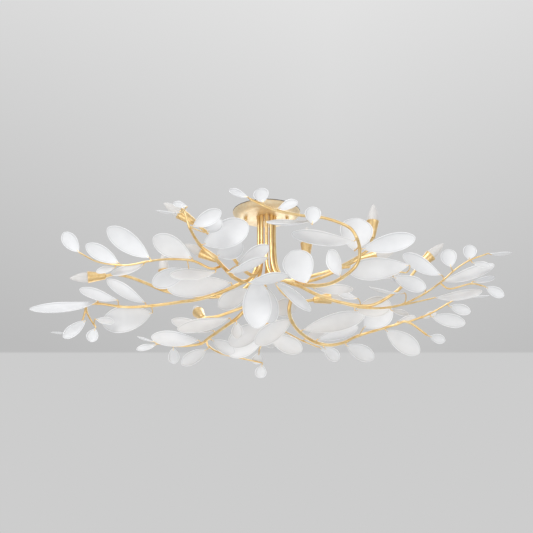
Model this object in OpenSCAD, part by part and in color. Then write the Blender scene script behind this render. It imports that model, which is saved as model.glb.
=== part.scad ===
// Semi-flush ceiling light: ten candelabra lamps on gilded branch arms with white cupped leaves.
// Millimetres. The ceiling is the plane z = 0, the light hangs below it, and +X runs along its length.

/* [Canopy] */
// Diameter of the round canopy
canopy_d = 215; // [190:1:250]
// Depth of the canopy from its rim to its flat face
canopy_depth = 17; // [15:0.5:24]
// Diameter of the canopy's flat face
canopy_flat_d = 156; // [150:1:164]
// Sheet thickness of the canopy
canopy_wall = 1.2; // [0.8:0.1:1.6]
// Thickness of the foam ring between the rim and the ceiling
gasket_t = 2; // [1.5:0.1:3]
// Width of the foam ring
gasket_w = 6; // [4:0.5:8]

/* [Ceiling bracket] */
// Length of the crossbar
bar_l = 150; // [146:1:158]
// Width of the crossbar
bar_w = 22; // [18:1:28]
// Thickness of the crossbar
bar_t = 2; // [1.5:0.1:3]
// Centre distance of the two box screw slots
box_spacing = 88.9; // [82:0.1:96]
// Width of a box screw slot
slot_w = 4.5; // [4:0.1:5.5]
// Length of a box screw slot
slot_l = 14; // [8:0.5:16]
// Diameter of the wire hole in the middle of the crossbar
wire_hole_d = 10.4; // [8:0.1:13]
// Centre distance of the two canopy studs
stud_spacing = 132; // [126:1:136]
// Diameter of a canopy stud
stud_d = 4; // [3:0.1:5]
// Length of stud that stands out under the canopy
stud_reach = 8; // [6:0.5:10]
// Diameter of a cap nut
nut_d = 10; // [8:0.5:12]
// Straight height of a cap nut
nut_h = 6; // [5:0.5:9]

/* [Stems and arms] */
// Diameter of the circle on which the stems stand
stem_circle_d = 52; // [48:1:60]
// Outer diameter of a lamp arm's tube at the stem
tube_d = 12; // [10:0.5:13]
// Outer diameter of a lamp arm's tube at the lamp
tube_end_d = 9; // [8:0.5:10]
// Wall of a lamp arm's tube
tube_wall = 1.2; // [0.8:0.1:1.6]
// Distance from the ceiling down to the hub level, where the arms bend outwards
hub_drop = 245; // [225:5:285]
// Diameter of the plate that carries the stems
plate_d = 84; // [80:1:100]
// Thickness of the stem plate
plate_t = 3; // [2:0.5:5]

/* [Lamps] */
// Outer diameter of a lamp cup's mouth
cup_mouth_d = 38; // [38:0.5:42]
// Outer diameter of a lamp cup's base
cup_base_d = 20; // [20:0.5:24]
// Length of a lamp cup
cup_l = 56; // [52:1:57]
// Sheet thickness of a lamp cup
cup_wall = 1.2; // [0.8:0.1:1.4]
// Outer diameter of a lamp socket
socket_d = 16; // [15:0.5:16]
// Length of a lamp socket
socket_l = 28; // [28:1:32]
// Diameter of a bulb's screw base
bulb_base_d = 11.8; // [11:0.1:12.2]
// Length of a bulb's screw base
bulb_base_l = 24; // [20:1:25]
// Greatest diameter of a bulb's glass
bulb_d = 33; // [30:0.5:33]
// Length of a bulb's glass
bulb_glass_l = 82; // [74:1:90]
// Wall of a bulb's glass
glass_t = 1; // [0.8:0.1:1.4]

/* [Branches and leaves] */
// Diameter of a leaf rod where it leaves its arm
rod_d = 8; // [7:0.5:9]
// Diameter of a leaf rod at its tip
rod_tip_d = 4.4; // [4:0.2:5]
// Diameter of a bough, one of the thick leaf rods, where it leaves its arm
bough_d = 12; // [11:0.5:12]
// Diameter of a bough at its tip
bough_tip_d = 7; // [6:0.5:7.5]
// Diameter of a side rod where it leaves its rod
side_rod_d = 5.6; // [4.8:0.2:6]
// Diameter that a knuckle adds to its rod
knuckle = 0.8; // [0.6:0.1:1.6]
// Diameter of a twig where it leaves its rod
twig_d = 4; // [3.4:0.2:4]
// Diameter of a twig at its leaf
twig_tip_d = 2.8; // [2.4:0.1:3.2]
// Depth to which a twig runs into its leaf's foot
twig_grip = 5; // [3:0.5:7]
// Sheet thickness of a leaf
leaf_t = 1.5; // [1.2:0.1:2]
// Radius of a leaf's bend along its length, as a share of that length
leaf_bend = 1.4; // [1.2:0.1:2]
// Radius of a leaf's bend across, as a share of its width
leaf_cup = 0.75; // [0.7:0.05:1]
// Place of a leaf's greatest width, as a share of its length
leaf_belly = 0.54; // [0.52:0.01:0.58]

/* [Hidden] */
LAMPS = 10;
SPRIG_COUNT = 10;
// Sprigs whose main rod is a thick bough
BOUGHS = [2, 3, 4, 6, 7];

// Colours as the photograph shows them
gold = "#DDB578";
white = "#EEEEEC";
glass = "#E6E1DC";
dark = "#4A4846";
zinc = "#B9BCBE";

// Clearances and shared levels
fit = 0.05;
seat_play = 0.1;
stem_play = 0.5;
stud_play = 0.4;
rim_z = -gasket_t;
face_z = rim_z - canopy_depth;
floor_z = face_z + canopy_wall;
stem_top_z = floor_z + plate_t + 1;
hub_z = -hub_drop;
nut_z = face_z - seat_play;
nut_room = 1.5;

// Radius of the arc that joins the canopy's flat face to its rim
function canopy_bend() =
  let (run = (canopy_d - canopy_flat_d) / 2)
  (run * run + canopy_depth * canopy_depth) / (2 * canopy_depth);

// Ground screw on the crossbar
screw_x = 22;
screw_head_d = 8;
screw_head_h = 3;
screw_d = 4;

// Lamp: distances along the lamp's axis, from the foot of its cup
glass_gap = 1;
base_from = cup_wall + socket_l + glass_gap - bulb_base_l;
glass_from = base_from + bulb_base_l;
vent_d = 4;

// Height above the hub at which the stems start to bend outwards
bend_from = 125;

// Sides of the swept tubes, rods and twigs, and steps between their waypoints
tube_sides = 8;
rod_sides = 8;
twig_sides = 6;
steps = 2;

// One entry a lamp: the stem's place on the circle in degrees, the arm's waypoints from the hub,
// and the lamp's direction. The last waypoint is the foot of the lamp cup.
ARMS = [
  [162, [[-32, 11, 50], [-60, 16, 0], [-110, 22, -28], [-200, 30, -32], [-310, 30, -15], [-375, 10, 5],
         [-430, -10, 20], [-475, -20, 25], [-502, -25, 18]], [-1, -0.08, -0.1]],
  [234, [[-20, -28, 50], [-40, -50, 12], [-72, -82, 18], [-110, -118, 52], [-145, -148, 82],
         [-182, -178, 104], [-218, -202, 125]], [-0.84, -0.2, 0.5]],
  [198, [[-33, -11, 50], [-60, -26, 2], [-92, -56, -5], [-125, -90, 15], [-152, -110, 40]],
        [-0.88, 0, 0.45]],
  [306, [[20, -28, 50], [42, -45, 5], [90, -58, -10], [150, -68, 5], [205, -90, 15], [258, -138, 25],
         [300, -182, 38], [315, -197, 54], [318, -200, 75]], [0.08, 0, 1]],
  [342, [[33, -11, 50], [60, -16, 5], [105, -18, -14], [160, -5, -38], [235, 15, -56], [325, 32, -60],
         [398, 32, -22], [440, 18, 14], [478, 2, 58]], [0.73, -0.1, 0.67]],
  [270, [[2, -35, 50], [22, -52, 5], [68, -72, -14], [100, -82, -6], [118, -84, 16], [122, -84, 48]],
        [0.04, 0, 1]],
  [18, [[33, 11, 50], [62, 18, 15], [110, 22, 12], [180, 20, 32], [245, 10, 62], [292, 0, 82]],
       [1, -0.05, 0.2]],
  [54, [[20, 28, 50], [42, 46, 0], [78, 70, -24], [115, 88, -26], [150, 100, -18]], [1, 0.1, 0.15]],
  [90, [[0, 35, 50], [-14, 58, 0], [-58, 90, -36], [-110, 118, -50], [-160, 135, -62], [-206, 150, -62]],
       [-0.3, 0.75, 0.6]],
  [126, [[-20, 28, 50], [-46, 42, 5], [-100, 50, -10], [-170, 55, -15], [-245, 58, -12], [-300, 60, -8],
         [-322, 60, 14]], [-0.1, 0, 1]]
];

// Directions that a leaf's hollow side can face: -Y is the side the photograph was taken from
FRONT = [0, -1, -0.2];
TILT = [0, -1, 0.6];
LEAN = [0, -1, 0.3];
HALF = [0, -1, 1];
LOW = [0, -1, -0.6];
EDGE = [0, -0.4, 1];
UP = [0, 0, 1];
BACK = [0, 1, 0.4];

// One entry a sprig: [lamp arm, place on that arm as a count of waypoints], the rod's further
// waypoints from the hub, side rods as [place on the rod, waypoints], and leaves. A leaf is
// [rod, place on it, twig from the rod to the leaf's foot, foot to tip, width, hollow side].
SPRIGS = [
  [[3, 5.4], [[-170, -118, 8], [-224, -140, 25], [-293, -160, 23], [-353, -165, 15], [-419, -160, 4],
              [-475, -155, 9], [-521, -150, 21], [-568, -150, 47]],
   [],
   [[0, 8, [-4, 0, 3], [-50, -10, 60], 45, FRONT],
    [0, 5.4, [-6, -2, 6], [-100, -20, 52], 48, FRONT],
    [0, 3.9, [-8, -5, 8], [-128, -30, 86], 64, FRONT],
    [0, 2, [-4, -5, 8], [-116, -40, 52], 68, FRONT],
    [0, 5.6, [-6, 2, -8], [-58, 8, -10], 34, TILT],
    [0, 4.2, [-8, 5, -8], [-100, 20, -20], 45, TILT],
    [0, 2.2, [-4, 34, -20], [-110, 15, -42], 60, LOW],
    [0, 0.6, [-2, -12, -18], [-138, -20, -12], 58, TILT]]],
  [[3, 3.3], [[-138, -32, -37], [-206, -40, -63], [-267, -45, -75], [-360, -40, -86], [-438, -30, -86],
              [-517, -20, -72], [-562, -10, -70]],
   [[7, [[-565, -8, -98], [-575, -4, -130], [-602, 0, -158]]],
    [7, [[-558, -10, -96], [-545, -5, -120], [-529, 0, -142]]]],
   [[0, 6.1, [0, -15, 4], [-208, -20, -28], 70, HALF],
    [0, 4.1, [-8, 0, 12], [-118, -10, 75], 52, TILT],
    [0, 5.2, [-8, -18, 15], [-115, -14, 34], 50, TILT],
    [0, 3.9, [-4, 20, -17], [-155, 15, -30], 84, FRONT],
    [0, 0.5, [-8, -12, 10], [-195, -15, -26], 68, FRONT],
    [1, 1.9, [14, -12, 2], [-66, -6, -58], 38, FRONT],
    [1, 3, [-6, 0, 0], [-62, 0, 2], 28, EDGE],
    [2, 2.5, [10, -20, 8], [56, 5, -8], 36, TILT],
    [2, 3, [-2, 0, -4], [-14, 5, -42], 38, FRONT]]],
  [[9, 3.6], [[-92, 125, -68], [-134, 170, -85], [-184, 230, -101], [-218, 260, -115], [-284, 270, -119],
              [-364, 280, -106]],
   [[3.4, [[-190, 300, -112], [-148, 340, -124], [-72, 380, -131], [-15, 400, -138]]]],
   [[0, 3.9, [-10, -18, 5], [-155, 0, 15], 62, LEAN],
    [0, 1.4, [-12, -28, 2], [-165, 0, -34], 66, TILT],
    [0, 6, [-8, 0, 6], [-56, 0, 18], 30, EDGE],
    [0, 5.9, [-8, 0, -4], [-65, 0, -16], 32, TILT],
    [0, 2.6, [-10, 15, 13], [-138, 10, 44], 58, TILT],
    [0, 5.3, [0, 0, -8], [4, 10, -52], 38, FRONT],
    [0, 1.2, [5, -6, -10], [5, -10, -60], 38, FRONT],
    [0, 3.1, [10, 5, -6], [75, 30, -35], 44, FRONT],
    [1, 1, [-8, 5, -8], [-85, 20, -45], 45, FRONT],
    [1, 2, [2, 6, 8], [85, 30, 20], 46, TILT],
    [1, 4, [0, 4, -6], [-8, 10, -44], 40, FRONT]]],
  [[8, 4], [[72, 90, -55], [80, 125, -79], [108, 180, -100], [158, 230, -118], [208, 250, -122],
            [257, 250, -112], [299, 240, -94], [415, 200, -70], [458, 180, -66], [521, 200, -104]],
   [[9, [[527, 180, -39], [586, 170, -8], [632, 160, 18]]]],
   [[0, 3, [10, -5, 6], [200, -25, 42], 62, FRONT],
    [0, 4, [10, 0, 10], [132, 0, 45], 60, TILT],
    [0, 7, [18, -38, 16], [88, -10, 74], 86, FRONT],
    [0, 7.7, [6, 0, -8], [110, 25, -70], 66, FRONT],
    [0, 6, [5, 5, -10], [92, 20, -38], 54, FRONT],
    [0, 4.5, [5, 5, -10], [50, 20, -35], 42, FRONT],
    [0, 8.1, [6, 0, 10], [58, 0, 18], 30, TILT],
    [0, 10, [8, 0, -4], [52, 10, -12], 32, FRONT],
    [0, 2.1, [-2, 6, 10], [-118, 20, -76], 62, FRONT],
    [1, 0.6, [8, 14, 3], [45, 0, 20], 28, TILT],
    [1, 1, [8, 0, -8], [112, 10, -20], 46, FRONT],
    [1, 2, [8, 0, -8], [70, 10, -15], 36, FRONT],
    [1, 3, [8, 0, 2], [85, 0, 0], 30, EDGE]]],
  [[5, 5.4], [[300, 34, -66], [404, 34, -62], [482, 20, -33], [544, 0, 4], [590, -20, 40],
              [637, -30, 69], [689, -30, 89]],
   [[2, [[452, 22, -56], [521, 14, -42]]],
    [4, [[575, 4, -14], [641, 2, 2], [679, 0, -6]]]],
   [[0, 4.1, [-5, -28, 12], [-118, -25, 60], 60, LEAN],
    [0, 0.75, [10, 34, -4], [114, 10, 26], 68, FRONT],
    [0, 3.2, [-8, -19, 15], [-98, -20, 28], 50, TILT],
    [0, 1.8, [8, 5, -8], [56, 10, -10], 30, TILT],
    [0, 0.9, [-6, -36, 16], [-60, -5, 16], 34, TILT],
    [0, 2.3, [0, -39, 23], [-110, -5, 22], 44, EDGE],
    [0, 4, [10, 0, 6], [165, 0, 60], 56, TILT],
    [0, 6, [8, 0, -8], [58, 0, -12], 32, TILT],
    [0, 4.8, [-4, -14, 12], [-12, -12, 56], 52, FRONT],
    [0, 5.9, [2, -6, 2], [5, -10, 46], 44, FRONT],
    [0, 7, [8, 0, 2], [74, 0, 4], 28, UP],
    [1, 2, [8, 0, 2], [150, 0, 26], 46, TILT],
    [2, 3, [8, 0, -4], [58, 10, -26], 34, FRONT],
    [2, 2, [8, 0, 8], [70, 0, 15], 28, TILT]]],
  [[4, 4], [[122, -80, -32], [170, -115, -45], [210, -160, -48], [249, -210, -37], [272, -240, -17],
            [276, -270, 10], [266, -300, 36], [245, -320, 60], [200, -340, 74], [156, -350, 82],
            [98, -360, 84], [25, -370, 96], [-7, -375, 108], [-50, -380, 128]],
   [],
   [[0, 7, [-8, -10, -12], [-186, -20, 18], 72, TILT],
    [0, 10.3, [-8, 0, -12], [-134, -10, -6], 60, [0, -0.7, 1]],
    [0, 11.8, [-4, -8, 4], [58, -10, 18], 46, TILT],
    [0, 10.5, [5, -14, -30], [2, -12, 50], 48, FRONT],
    [0, 13, [-2, -8, 7], [-12, -10, 40], 46, FRONT],
    [0, 14, [-5, 0, 5], [-54, -10, 20], 34, TILT],
    [0, 6.2, [-14, 24, 0], [14, 15, 112], 100, FRONT],
    [0, 3.4, [-4, 8, 10], [-34, 20, 90], 58, [-1, -0.8, 0]],
    [0, 0.5, [17, -56, -20], [-44, -10, 103], 96, FRONT],
    [0, 6, [8, -2, 3], [158, -12, 32], 58, FRONT],
    [0, 1.4, [6, 8, -6], [122, 20, 8], 50, TILT]]],
  [[3, 4.4], [[-156, -136, 32], [-202, -170, 65], [-230, -230, 96], [-246, -265, 140]],
   [],
   [[0, 4, [-10, 0, -8], [-75, -10, 5], 32, EDGE],
    [0, 4, [8, -4, 10], [-42, -6, 8], 32, TILT],
    [0, 3, [8, 0, 6], [86, -20, 42], 48, FRONT],
    [0, 3, [52, 20, -6], [40, 0, 44], 46, FRONT],
    [0, 2, [10, -5, 0], [138, -20, 58], 88, FRONT],
    [0, 1.1, [10, -4, 4], [78, -10, 42], 72, FRONT],
    [0, 0.2, [28, -28, 15], [94, -14, 60], 52, [0, -1, 0.2]],
    [0, 0.3, [3, -37, -19], [120, -12, 47], 70, UP],
    [0, 0.05, [51, -47, -42], [124, -34, 17], 78, UP]]],
  [[4, 6.2], [[262, -95, 22], [320, -78, 32], [380, -65, 22], [430, -60, 16]],
   [],
   [[0, 1.4, [14, 48, -11], [116, -10, 6], 50, TILT],
    [0, 4, [8, -34, 12], [-186, -20, -26], 72, FRONT],
    [0, 3.2, [4, 14, -16], [100, 0, -36], 50, FRONT]]],
  [[6, 3.4], [[-6, -62, -6], [-30, -72, -20]],
   [],
   [[0, 2, [-1, -12, 15], [4, -8, -170], 90, FRONT],
    [0, 1.6, [22, 22, -12], [14, 30, -110], 62, FRONT],
    [0, 0.8, [24, 4, -10], [110, 10, -92], 50, [-0.6, -0.5, -0.7]],
    [0, 1.2, [-40, 30, -22], [-100, 40, -42], 60, FRONT]]],
  [[9, 3.1], [[-6, 95, -40], [5, 150, -75], [0, 230, -92], [-15, 300, -100], [-25, 350, -110]],
   [[2, [[60, 220, -85], [120, 290, -95], [170, 340, -100]]]],
   [[0, 2, [-8, 0, -8], [-120, 20, -62], 68, FRONT],
    [0, 3, [8, 0, -8], [110, 20, -40], 60, FRONT],
    [0, 3.5, [-8, 0, -8], [-115, 40, -30], 60, FRONT],
    [0, 5, [0, 8, -4], [-10, 70, -20], 40, UP],
    [0, 4.4, [6, 4, 8], [54, 60, 36], 44, BACK],
    [0, 1.3, [8, 6, 6], [90, 80, 40], 60, BACK],
    [1, 1, [-6, 4, 8], [-60, 90, 50], 56, BACK],
    [1, 2, [8, 4, 8], [90, 50, 40], 54, BACK],
    [1, 3, [6, 4, 0], [70, 50, -10], 40, UP]]]
];

// Vector and curve helpers
function unit(v) = v / norm(v);

// Point of a smooth curve through p at place s, where whole numbers are the waypoints
function spline(p, s) =
  let (i = min(floor(s), len(p) - 2), t = s - i, a = p[i], b = p[i + 1],
       before = i > 0 ? p[i - 1] : 2 * a - b, after = i < len(p) - 2 ? p[i + 2] : 2 * b - a)
  0.5 * (2 * a + (b - before) * t + (2 * before - 5 * a + 4 * b - after) * t * t
         + (3 * a - before - 3 * b + after) * t * t * t);

function curve(p) = [for (i = [0 : steps * (len(p) - 1)]) spline(p, i / steps)];

function tangents(c) = [for (i = [0 : len(c) - 1]) unit(c[min(i + 1, len(c) - 1)] - c[max(i - 1, 0)])];

// Side directions carried along the curve without twist
function sides(t, i = 0, last = [0, 1, 0]) =
  i == len(t) ? [] : let (n = unit(last - (last * t[i]) * t[i])) concat([n], sides(t, i + 1, n));

// A direction across t, for the first ring of a sweep
function across(t) = abs(t.y) < 0.8 ? [0, 1, 0] : [1, 0, 0];

function ring(centre, t, n, r, count) =
  [for (j = [0 : count - 1]) centre + r * (cos(360 * j / count) * n + sin(360 * j / count) * cross(t, n))];

// Side faces of count-sided rings, out to the last ring
function skin(rings, count) =
  [for (i = [0 : rings - 2]) for (j = [0 : count - 1])
    let (a = i * count + j, b = i * count + (j + 1) % count)
    each [[b, a, a + count], [b, a + count, b + count]]];

// Solid rod along a curve, tapering from diameter d0 to d1, with a knuckle at each bend and at its tip
module rod(c, d0, d1) {
  last = len(c) - 1;
  for (i = [0 : last - 1]) {
    from = d0 + (d1 - d0) * i / last;
    to = d0 + (d1 - d0) * (i + 1) / last;
    run = c[i + 1] - c[i];
    aim(c[i], unit(run)) cylinder(d1 = from, d2 = to, h = norm(run), $fn = rod_sides);
    translate(c[i + 1]) sphere(d = to + knuckle, $fn = rod_sides);
  }
}

// Hollow tube along a curve, with open ends; end is the direction of its last ring
module pipe(c, d0, d1, wall, count, end) {
  m = len(c);
  inner = m * count;
  t = [for (i = [0 : m - 1]) i == 0 ? [0, 0, -1] : i == m - 1 ? unit(end) : tangents(c)[i]];
  n = sides(t, 0, across(t[0]));
  radii = [for (i = [0 : m - 1]) (d0 + (d1 - d0) * i / (m - 1)) / 2];
  points = concat([for (i = [0 : m - 1]) each ring(c[i], t[i], n[i], radii[i], count)],
                  [for (i = [0 : m - 1]) each ring(c[i], t[i], n[i], radii[i] - wall, count)]);
  bore = [for (f = skin(m, count)) [f[1] + inner, f[0] + inner, f[2] + inner]];
  foot = [for (j = [0 : count - 1]) let (a = j, b = (j + 1) % count)
    each [[a, b, inner + a], [b, inner + b, inner + a]]];
  mouth = [for (j = [0 : count - 1]) let (a = inner - count + j, b = inner - count + (j + 1) % count)
    each [[b, a, inner + b], [a, inner + a, inner + b]]];
  polyhedron(points, concat(skin(m, count), bore, foot, mouth));
}

// Arms and sprigs in the light's frame
function stem_xy(k) = stem_circle_d / 2 * [cos(ARMS[k - 1][0]), sin(ARMS[k - 1][0])];
function at_hub(p) = p + [0, 0, hub_z];
function arm_points(k) =
  concat([[stem_xy(k).x, stem_xy(k).y, stem_top_z], [stem_xy(k).x, stem_xy(k).y, hub_z + bend_from]],
         [for (p = ARMS[k - 1][1]) at_hub(p)]);
function lamp_foot(k) = at_hub(ARMS[k - 1][1][len(ARMS[k - 1][1]) - 1]);
function lamp_axis(k) = unit(ARMS[k - 1][2]);

function sprig_points(k) =
  let (s = SPRIGS[k - 1]) concat([spline(arm_points(s[0][0]), s[0][1])], [for (p = s[1]) at_hub(p)]);
function side_points(k, i) =
  let (s = SPRIGS[k - 1][2][i]) concat([spline(sprig_points(k), s[0])], [for (p = s[1]) at_hub(p)]);
function rod_points(k, i) = i == 0 ? sprig_points(k) : side_points(k, i - 1);

// Diameters of a sprig's rods: a bough is thick, and its side rods start as thick as its tip
function is_bough(k) = len(search(k, BOUGHS)) > 0;
function rod_from(k) = is_bough(k) ? bough_d : rod_d;
function rod_to(k) = is_bough(k) ? bough_tip_d : rod_tip_d;
function side_from(k) = is_bough(k) ? bough_tip_d : side_rod_d;

// Puts its children's +Z along direction d, at point p
module aim(p, d) {
  side = unit(cross(across(d), d));
  multmatrix([[side.x, cross(d, side).x, d.x, p.x], [side.y, cross(d, side).y, d.y, p.y],
              [side.z, cross(d, side).z, d.z, p.z], [0, 0, 0, 1]]) children();
}

// Canopy and what holds it up
module canopy_form(inset) {
  bend = canopy_bend();
  flat_r = canopy_flat_d / 2;
  run = canopy_d / 2 - flat_r;
  translate([0, face_z + inset]) square([flat_r, canopy_depth - inset]);
  intersection() {
    translate([flat_r, face_z + bend]) circle(bend - inset, $fn = 120);
    translate([flat_r, face_z]) square([run, canopy_depth]);
  }
}

module canopy() color(gold) difference() {
  rotate_extrude($fn = 120) difference() {
    canopy_form(0);
    canopy_form(canopy_wall);
  }
  for (k = [1 : LAMPS]) translate([stem_xy(k).x, stem_xy(k).y, face_z - 1])
    cylinder(d = tube_d + 2 * stem_play, h = canopy_wall + 2, $fn = 48);
  for (side = [-1, 1]) translate([side * stud_spacing / 2, 0, face_z - 1])
    cylinder(d = stud_d + 2 * stud_play, h = canopy_wall + 2, $fn = 32);
}

module canopy_gasket() color(dark) translate([0, 0, rim_z]) difference() {
  cylinder(d = canopy_d, h = gasket_t, $fn = 120);
  translate([0, 0, -1]) cylinder(d = canopy_d - 2 * gasket_w, h = gasket_t + 2, $fn = 120);
}

module slot(x) {
  reach = (slot_l - slot_w) / 2;
  for (end = [-1, 1]) translate([x + end * reach, 0, -bar_t - 1])
    cylinder(d = slot_w, h = bar_t + 2, $fn = 32);
  translate([x - reach, -slot_w / 2, -bar_t - 1]) cube([2 * reach, slot_w, bar_t + 2]);
}

module ceiling_bracket() color(zinc) difference() {
  translate([-bar_l / 2, -bar_w / 2, -bar_t]) cube([bar_l, bar_w, bar_t]);
  translate([0, 0, -bar_t - 1]) cylinder(d = wire_hole_d, h = bar_t + 2, $fn = 48);
  for (side = [-1, 1]) {
    slot(side * box_spacing / 2);
    translate([side * stud_spacing / 2, 0, -bar_t - 1]) cylinder(d = stud_d, h = bar_t + 2, $fn = 32);
  }
  translate([screw_x, 0, -bar_t - 1]) cylinder(d = screw_d, h = bar_t + 2, $fn = 32);
}

module bracket_studs() color(zinc) for (side = [-1, 1])
  translate([side * stud_spacing / 2, 0, face_z - stud_reach])
    cylinder(d = stud_d, h = stud_reach - face_z, $fn = 32);

module ground_screw() color("#3E8E55") translate([screw_x, 0, -bar_t]) {
  cylinder(d = screw_d, h = bar_t, $fn = 32);
  translate([0, 0, -screw_head_h]) cylinder(d = screw_head_d, h = screw_head_h, $fn = 6);
}

// Cap nut with a domed end, turned on its stud
module canopy_nut(side) color(gold) translate([side * stud_spacing / 2, 0, nut_z]) difference() {
  union() {
    translate([0, 0, -nut_h]) cylinder(d = nut_d, h = nut_h, $fn = 48);
    translate([0, 0, -nut_h]) intersection() {
      sphere(d = nut_d, $fn = 48);
      translate([-nut_d, -nut_d, -nut_d]) cube([2 * nut_d, 2 * nut_d, nut_d]);
    }
  }
  translate([0, 0, seat_play - stud_reach - nut_room])
    cylinder(d = stud_d + 2 * fit, h = stud_reach + nut_room, $fn = 32);
}

module canopy_nut_left() canopy_nut(-1);
module canopy_nut_right() canopy_nut(1);

module stem_plate() color(zinc) translate([0, 0, floor_z]) difference() {
  cylinder(d = plate_d, h = plate_t, $fn = 96);
  for (k = [1 : LAMPS]) translate([stem_xy(k).x, stem_xy(k).y, -1])
    cylinder(d = tube_d, h = plate_t + 2, $fn = 48);
  translate([0, 0, -1]) cylinder(d = wire_hole_d, h = plate_t + 2, $fn = 48);
}

// Lamp arm: tube from the stem plate to the foot of its cup
module lamp_arm(k) color(gold)
  pipe(curve(arm_points(k)), tube_d, tube_end_d, tube_wall, tube_sides, lamp_axis(k));

// Lamp cup: tapered gilded cup, with a wire hole in its foot
function cup_form() =
  let (foot = cup_base_d / 2, mouth = cup_mouth_d / 2)
  [[0, 0], [foot, 0], [mouth, cup_l], [mouth - cup_wall, cup_l], [foot - cup_wall, cup_wall], [0, cup_wall]];

module lamp_cup(k) color(gold) aim(lamp_foot(k), lamp_axis(k)) difference() {
  rotate_extrude($fn = 64) polygon(cup_form());
  translate([0, 0, -1]) cylinder(d = tube_end_d - 2 * tube_wall, h = cup_wall + 2, $fn = 32);
}

module lamp_sockets() color(white) for (k = [1 : LAMPS]) aim(lamp_foot(k), lamp_axis(k)) difference() {
  translate([0, 0, cup_wall]) cylinder(d = socket_d, h = socket_l, $fn = 48);
  translate([0, 0, base_from - 1]) cylinder(d = bulb_base_d + 2 * fit, h = socket_l, $fn = 48);
  translate([0, 0, cup_wall - 1]) cylinder(d = vent_d, h = socket_l, $fn = 24);
}

// Half section of the glass, inset by the wall for its hollow: shares of the glass's length and radius
GLASS = [[0, 0.4], [0.05, 0.62], [0.12, 0.84], [0.22, 0.96], [0.32, 1], [0.44, 0.97],
         [0.56, 0.88], [0.68, 0.74], [0.8, 0.54], [0.9, 0.34], [0.97, 0.15]];
module glass_form(inset) {
  l = bulb_glass_l - 2 * inset;
  r = bulb_d / 2 - inset;
  polygon(concat([[0, glass_from + inset]], [for (p = GLASS) [p[1] * r, glass_from + inset + p[0] * l]],
                 [[0, glass_from + inset + l]]));
}

module bulb(k) color(glass) aim(lamp_foot(k), lamp_axis(k)) difference() {
  union() {
    rotate_extrude($fn = 64) glass_form(0);
    translate([0, 0, base_from]) cylinder(d = bulb_base_d, h = bulb_base_l + glass_t, $fn = 48);
  }
  rotate_extrude($fn = 64) glass_form(glass_t);
  translate([0, 0, base_from - 1]) cylinder(d = vent_d, h = bulb_base_l + 2 + glass_t, $fn = 24);
}

// Leaf rod with its side rods and twigs
module sprig(k) color(gold) {
  rod(curve(sprig_points(k)), rod_from(k), rod_to(k));
  side_rods = SPRIGS[k - 1][2];
  for (i = [0 : 1 : len(side_rods) - 1]) {
    fork = side_points(k, i);
    rod(curve(fork), side_from(k), rod_tip_d);
    if (i == 0 || side_rods[i][0] != side_rods[i - 1][0])
      translate(fork[0]) sphere(d = side_from(k) + knuckle, $fn = rod_sides);
  }
  for (leaf = SPRIGS[k - 1][3]) {
    from = spline(rod_points(k, leaf[0]), leaf[1]);
    aim(from, unit(leaf[2]))
      cylinder(d1 = twig_d, d2 = twig_tip_d, h = norm(leaf[2]) + twig_grip, $fn = twig_sides);
  }
}

// Leaf outline: two side arcs that meet at the foot, closed by a tip disc tangent to both
module leaf_outline(l, w) {
  belly = leaf_belly * l;
  side = (belly * belly + w * w / 4) / w;
  off = side - w / 2;
  rest = l - belly;
  tip = (side * side - rest * rest - off * off) / (2 * (side - rest));
  touch = belly + side * (rest - tip) / (side - tip);
  intersection() {
    translate([belly, -off]) circle(side, $fn = 120);
    translate([belly, off]) circle(side, $fn = 120);
    translate([-1, -w]) square([touch + 1, 2 * w]);
  }
  translate([l - tip, 0]) circle(tip, $fn = 48);
}

// Leaf: dished sheet with its foot at the origin, its tip along +X and its hollow side up
module leaf(l, w) {
  along = leaf_bend * l;
  round = leaf_cup * w;
  lift = along - sqrt(along * along - leaf_belly * leaf_belly * l * l);
  span = 2 * asin(0.62 / leaf_bend);
  translate([0, 0, -lift]) intersection() {
    translate([0, 0, -leaf_t]) linear_extrude(l) leaf_outline(l, w);
    translate([leaf_belly * l, 0, along]) rotate([90, 0, 0]) rotate([0, 0, -90 - span / 2])
      rotate_extrude(angle = span, $fn = 120) difference() {
        intersection() {
          translate([along - round, 0]) circle(round, $fn = 120);
          translate([along - 0.8 * round, -round]) square([round, 2 * round]);
        }
        translate([along - round, 0]) circle(round - leaf_t, $fn = 120);
      }
  }
}

// Puts a leaf's foot at p with its tip along d and its hollow side towards the hint direction
module leaf_place(p, d, hint) {
  n = unit(hint - (hint * d) * d);
  s = cross(n, d);
  multmatrix([[d.x, s.x, n.x, p.x], [d.y, s.y, n.y, p.y], [d.z, s.z, n.z, p.z], [0, 0, 0, 1]]) children();
}

module leaves(k) color(white) for (row = SPRIGS[k - 1][3])
  leaf_place(spline(rod_points(k, row[0]), row[1]) + row[2], unit(row[3]), row[5]) leaf(norm(row[3]), row[4]);

canopy();
canopy_gasket();
ceiling_bracket();
bracket_studs();
ground_screw();
canopy_nut_left();
canopy_nut_right();
stem_plate();
lamp_sockets();
for (k = [1 : LAMPS]) {
  lamp_arm(k);
  lamp_cup(k);
  bulb(k);
}
for (k = [1 : SPRIG_COUNT]) {
  sprig(k);
  leaves(k);
}
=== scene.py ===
"""Semi-flush ceiling light with gilded branches and white dished leaves: its visible shapes and finishes.

It is laid out as an add-on. Run as a script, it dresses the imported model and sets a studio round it.
Lengths in the tables are millimetres, and every mesh is in metres.
"""

import math

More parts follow.
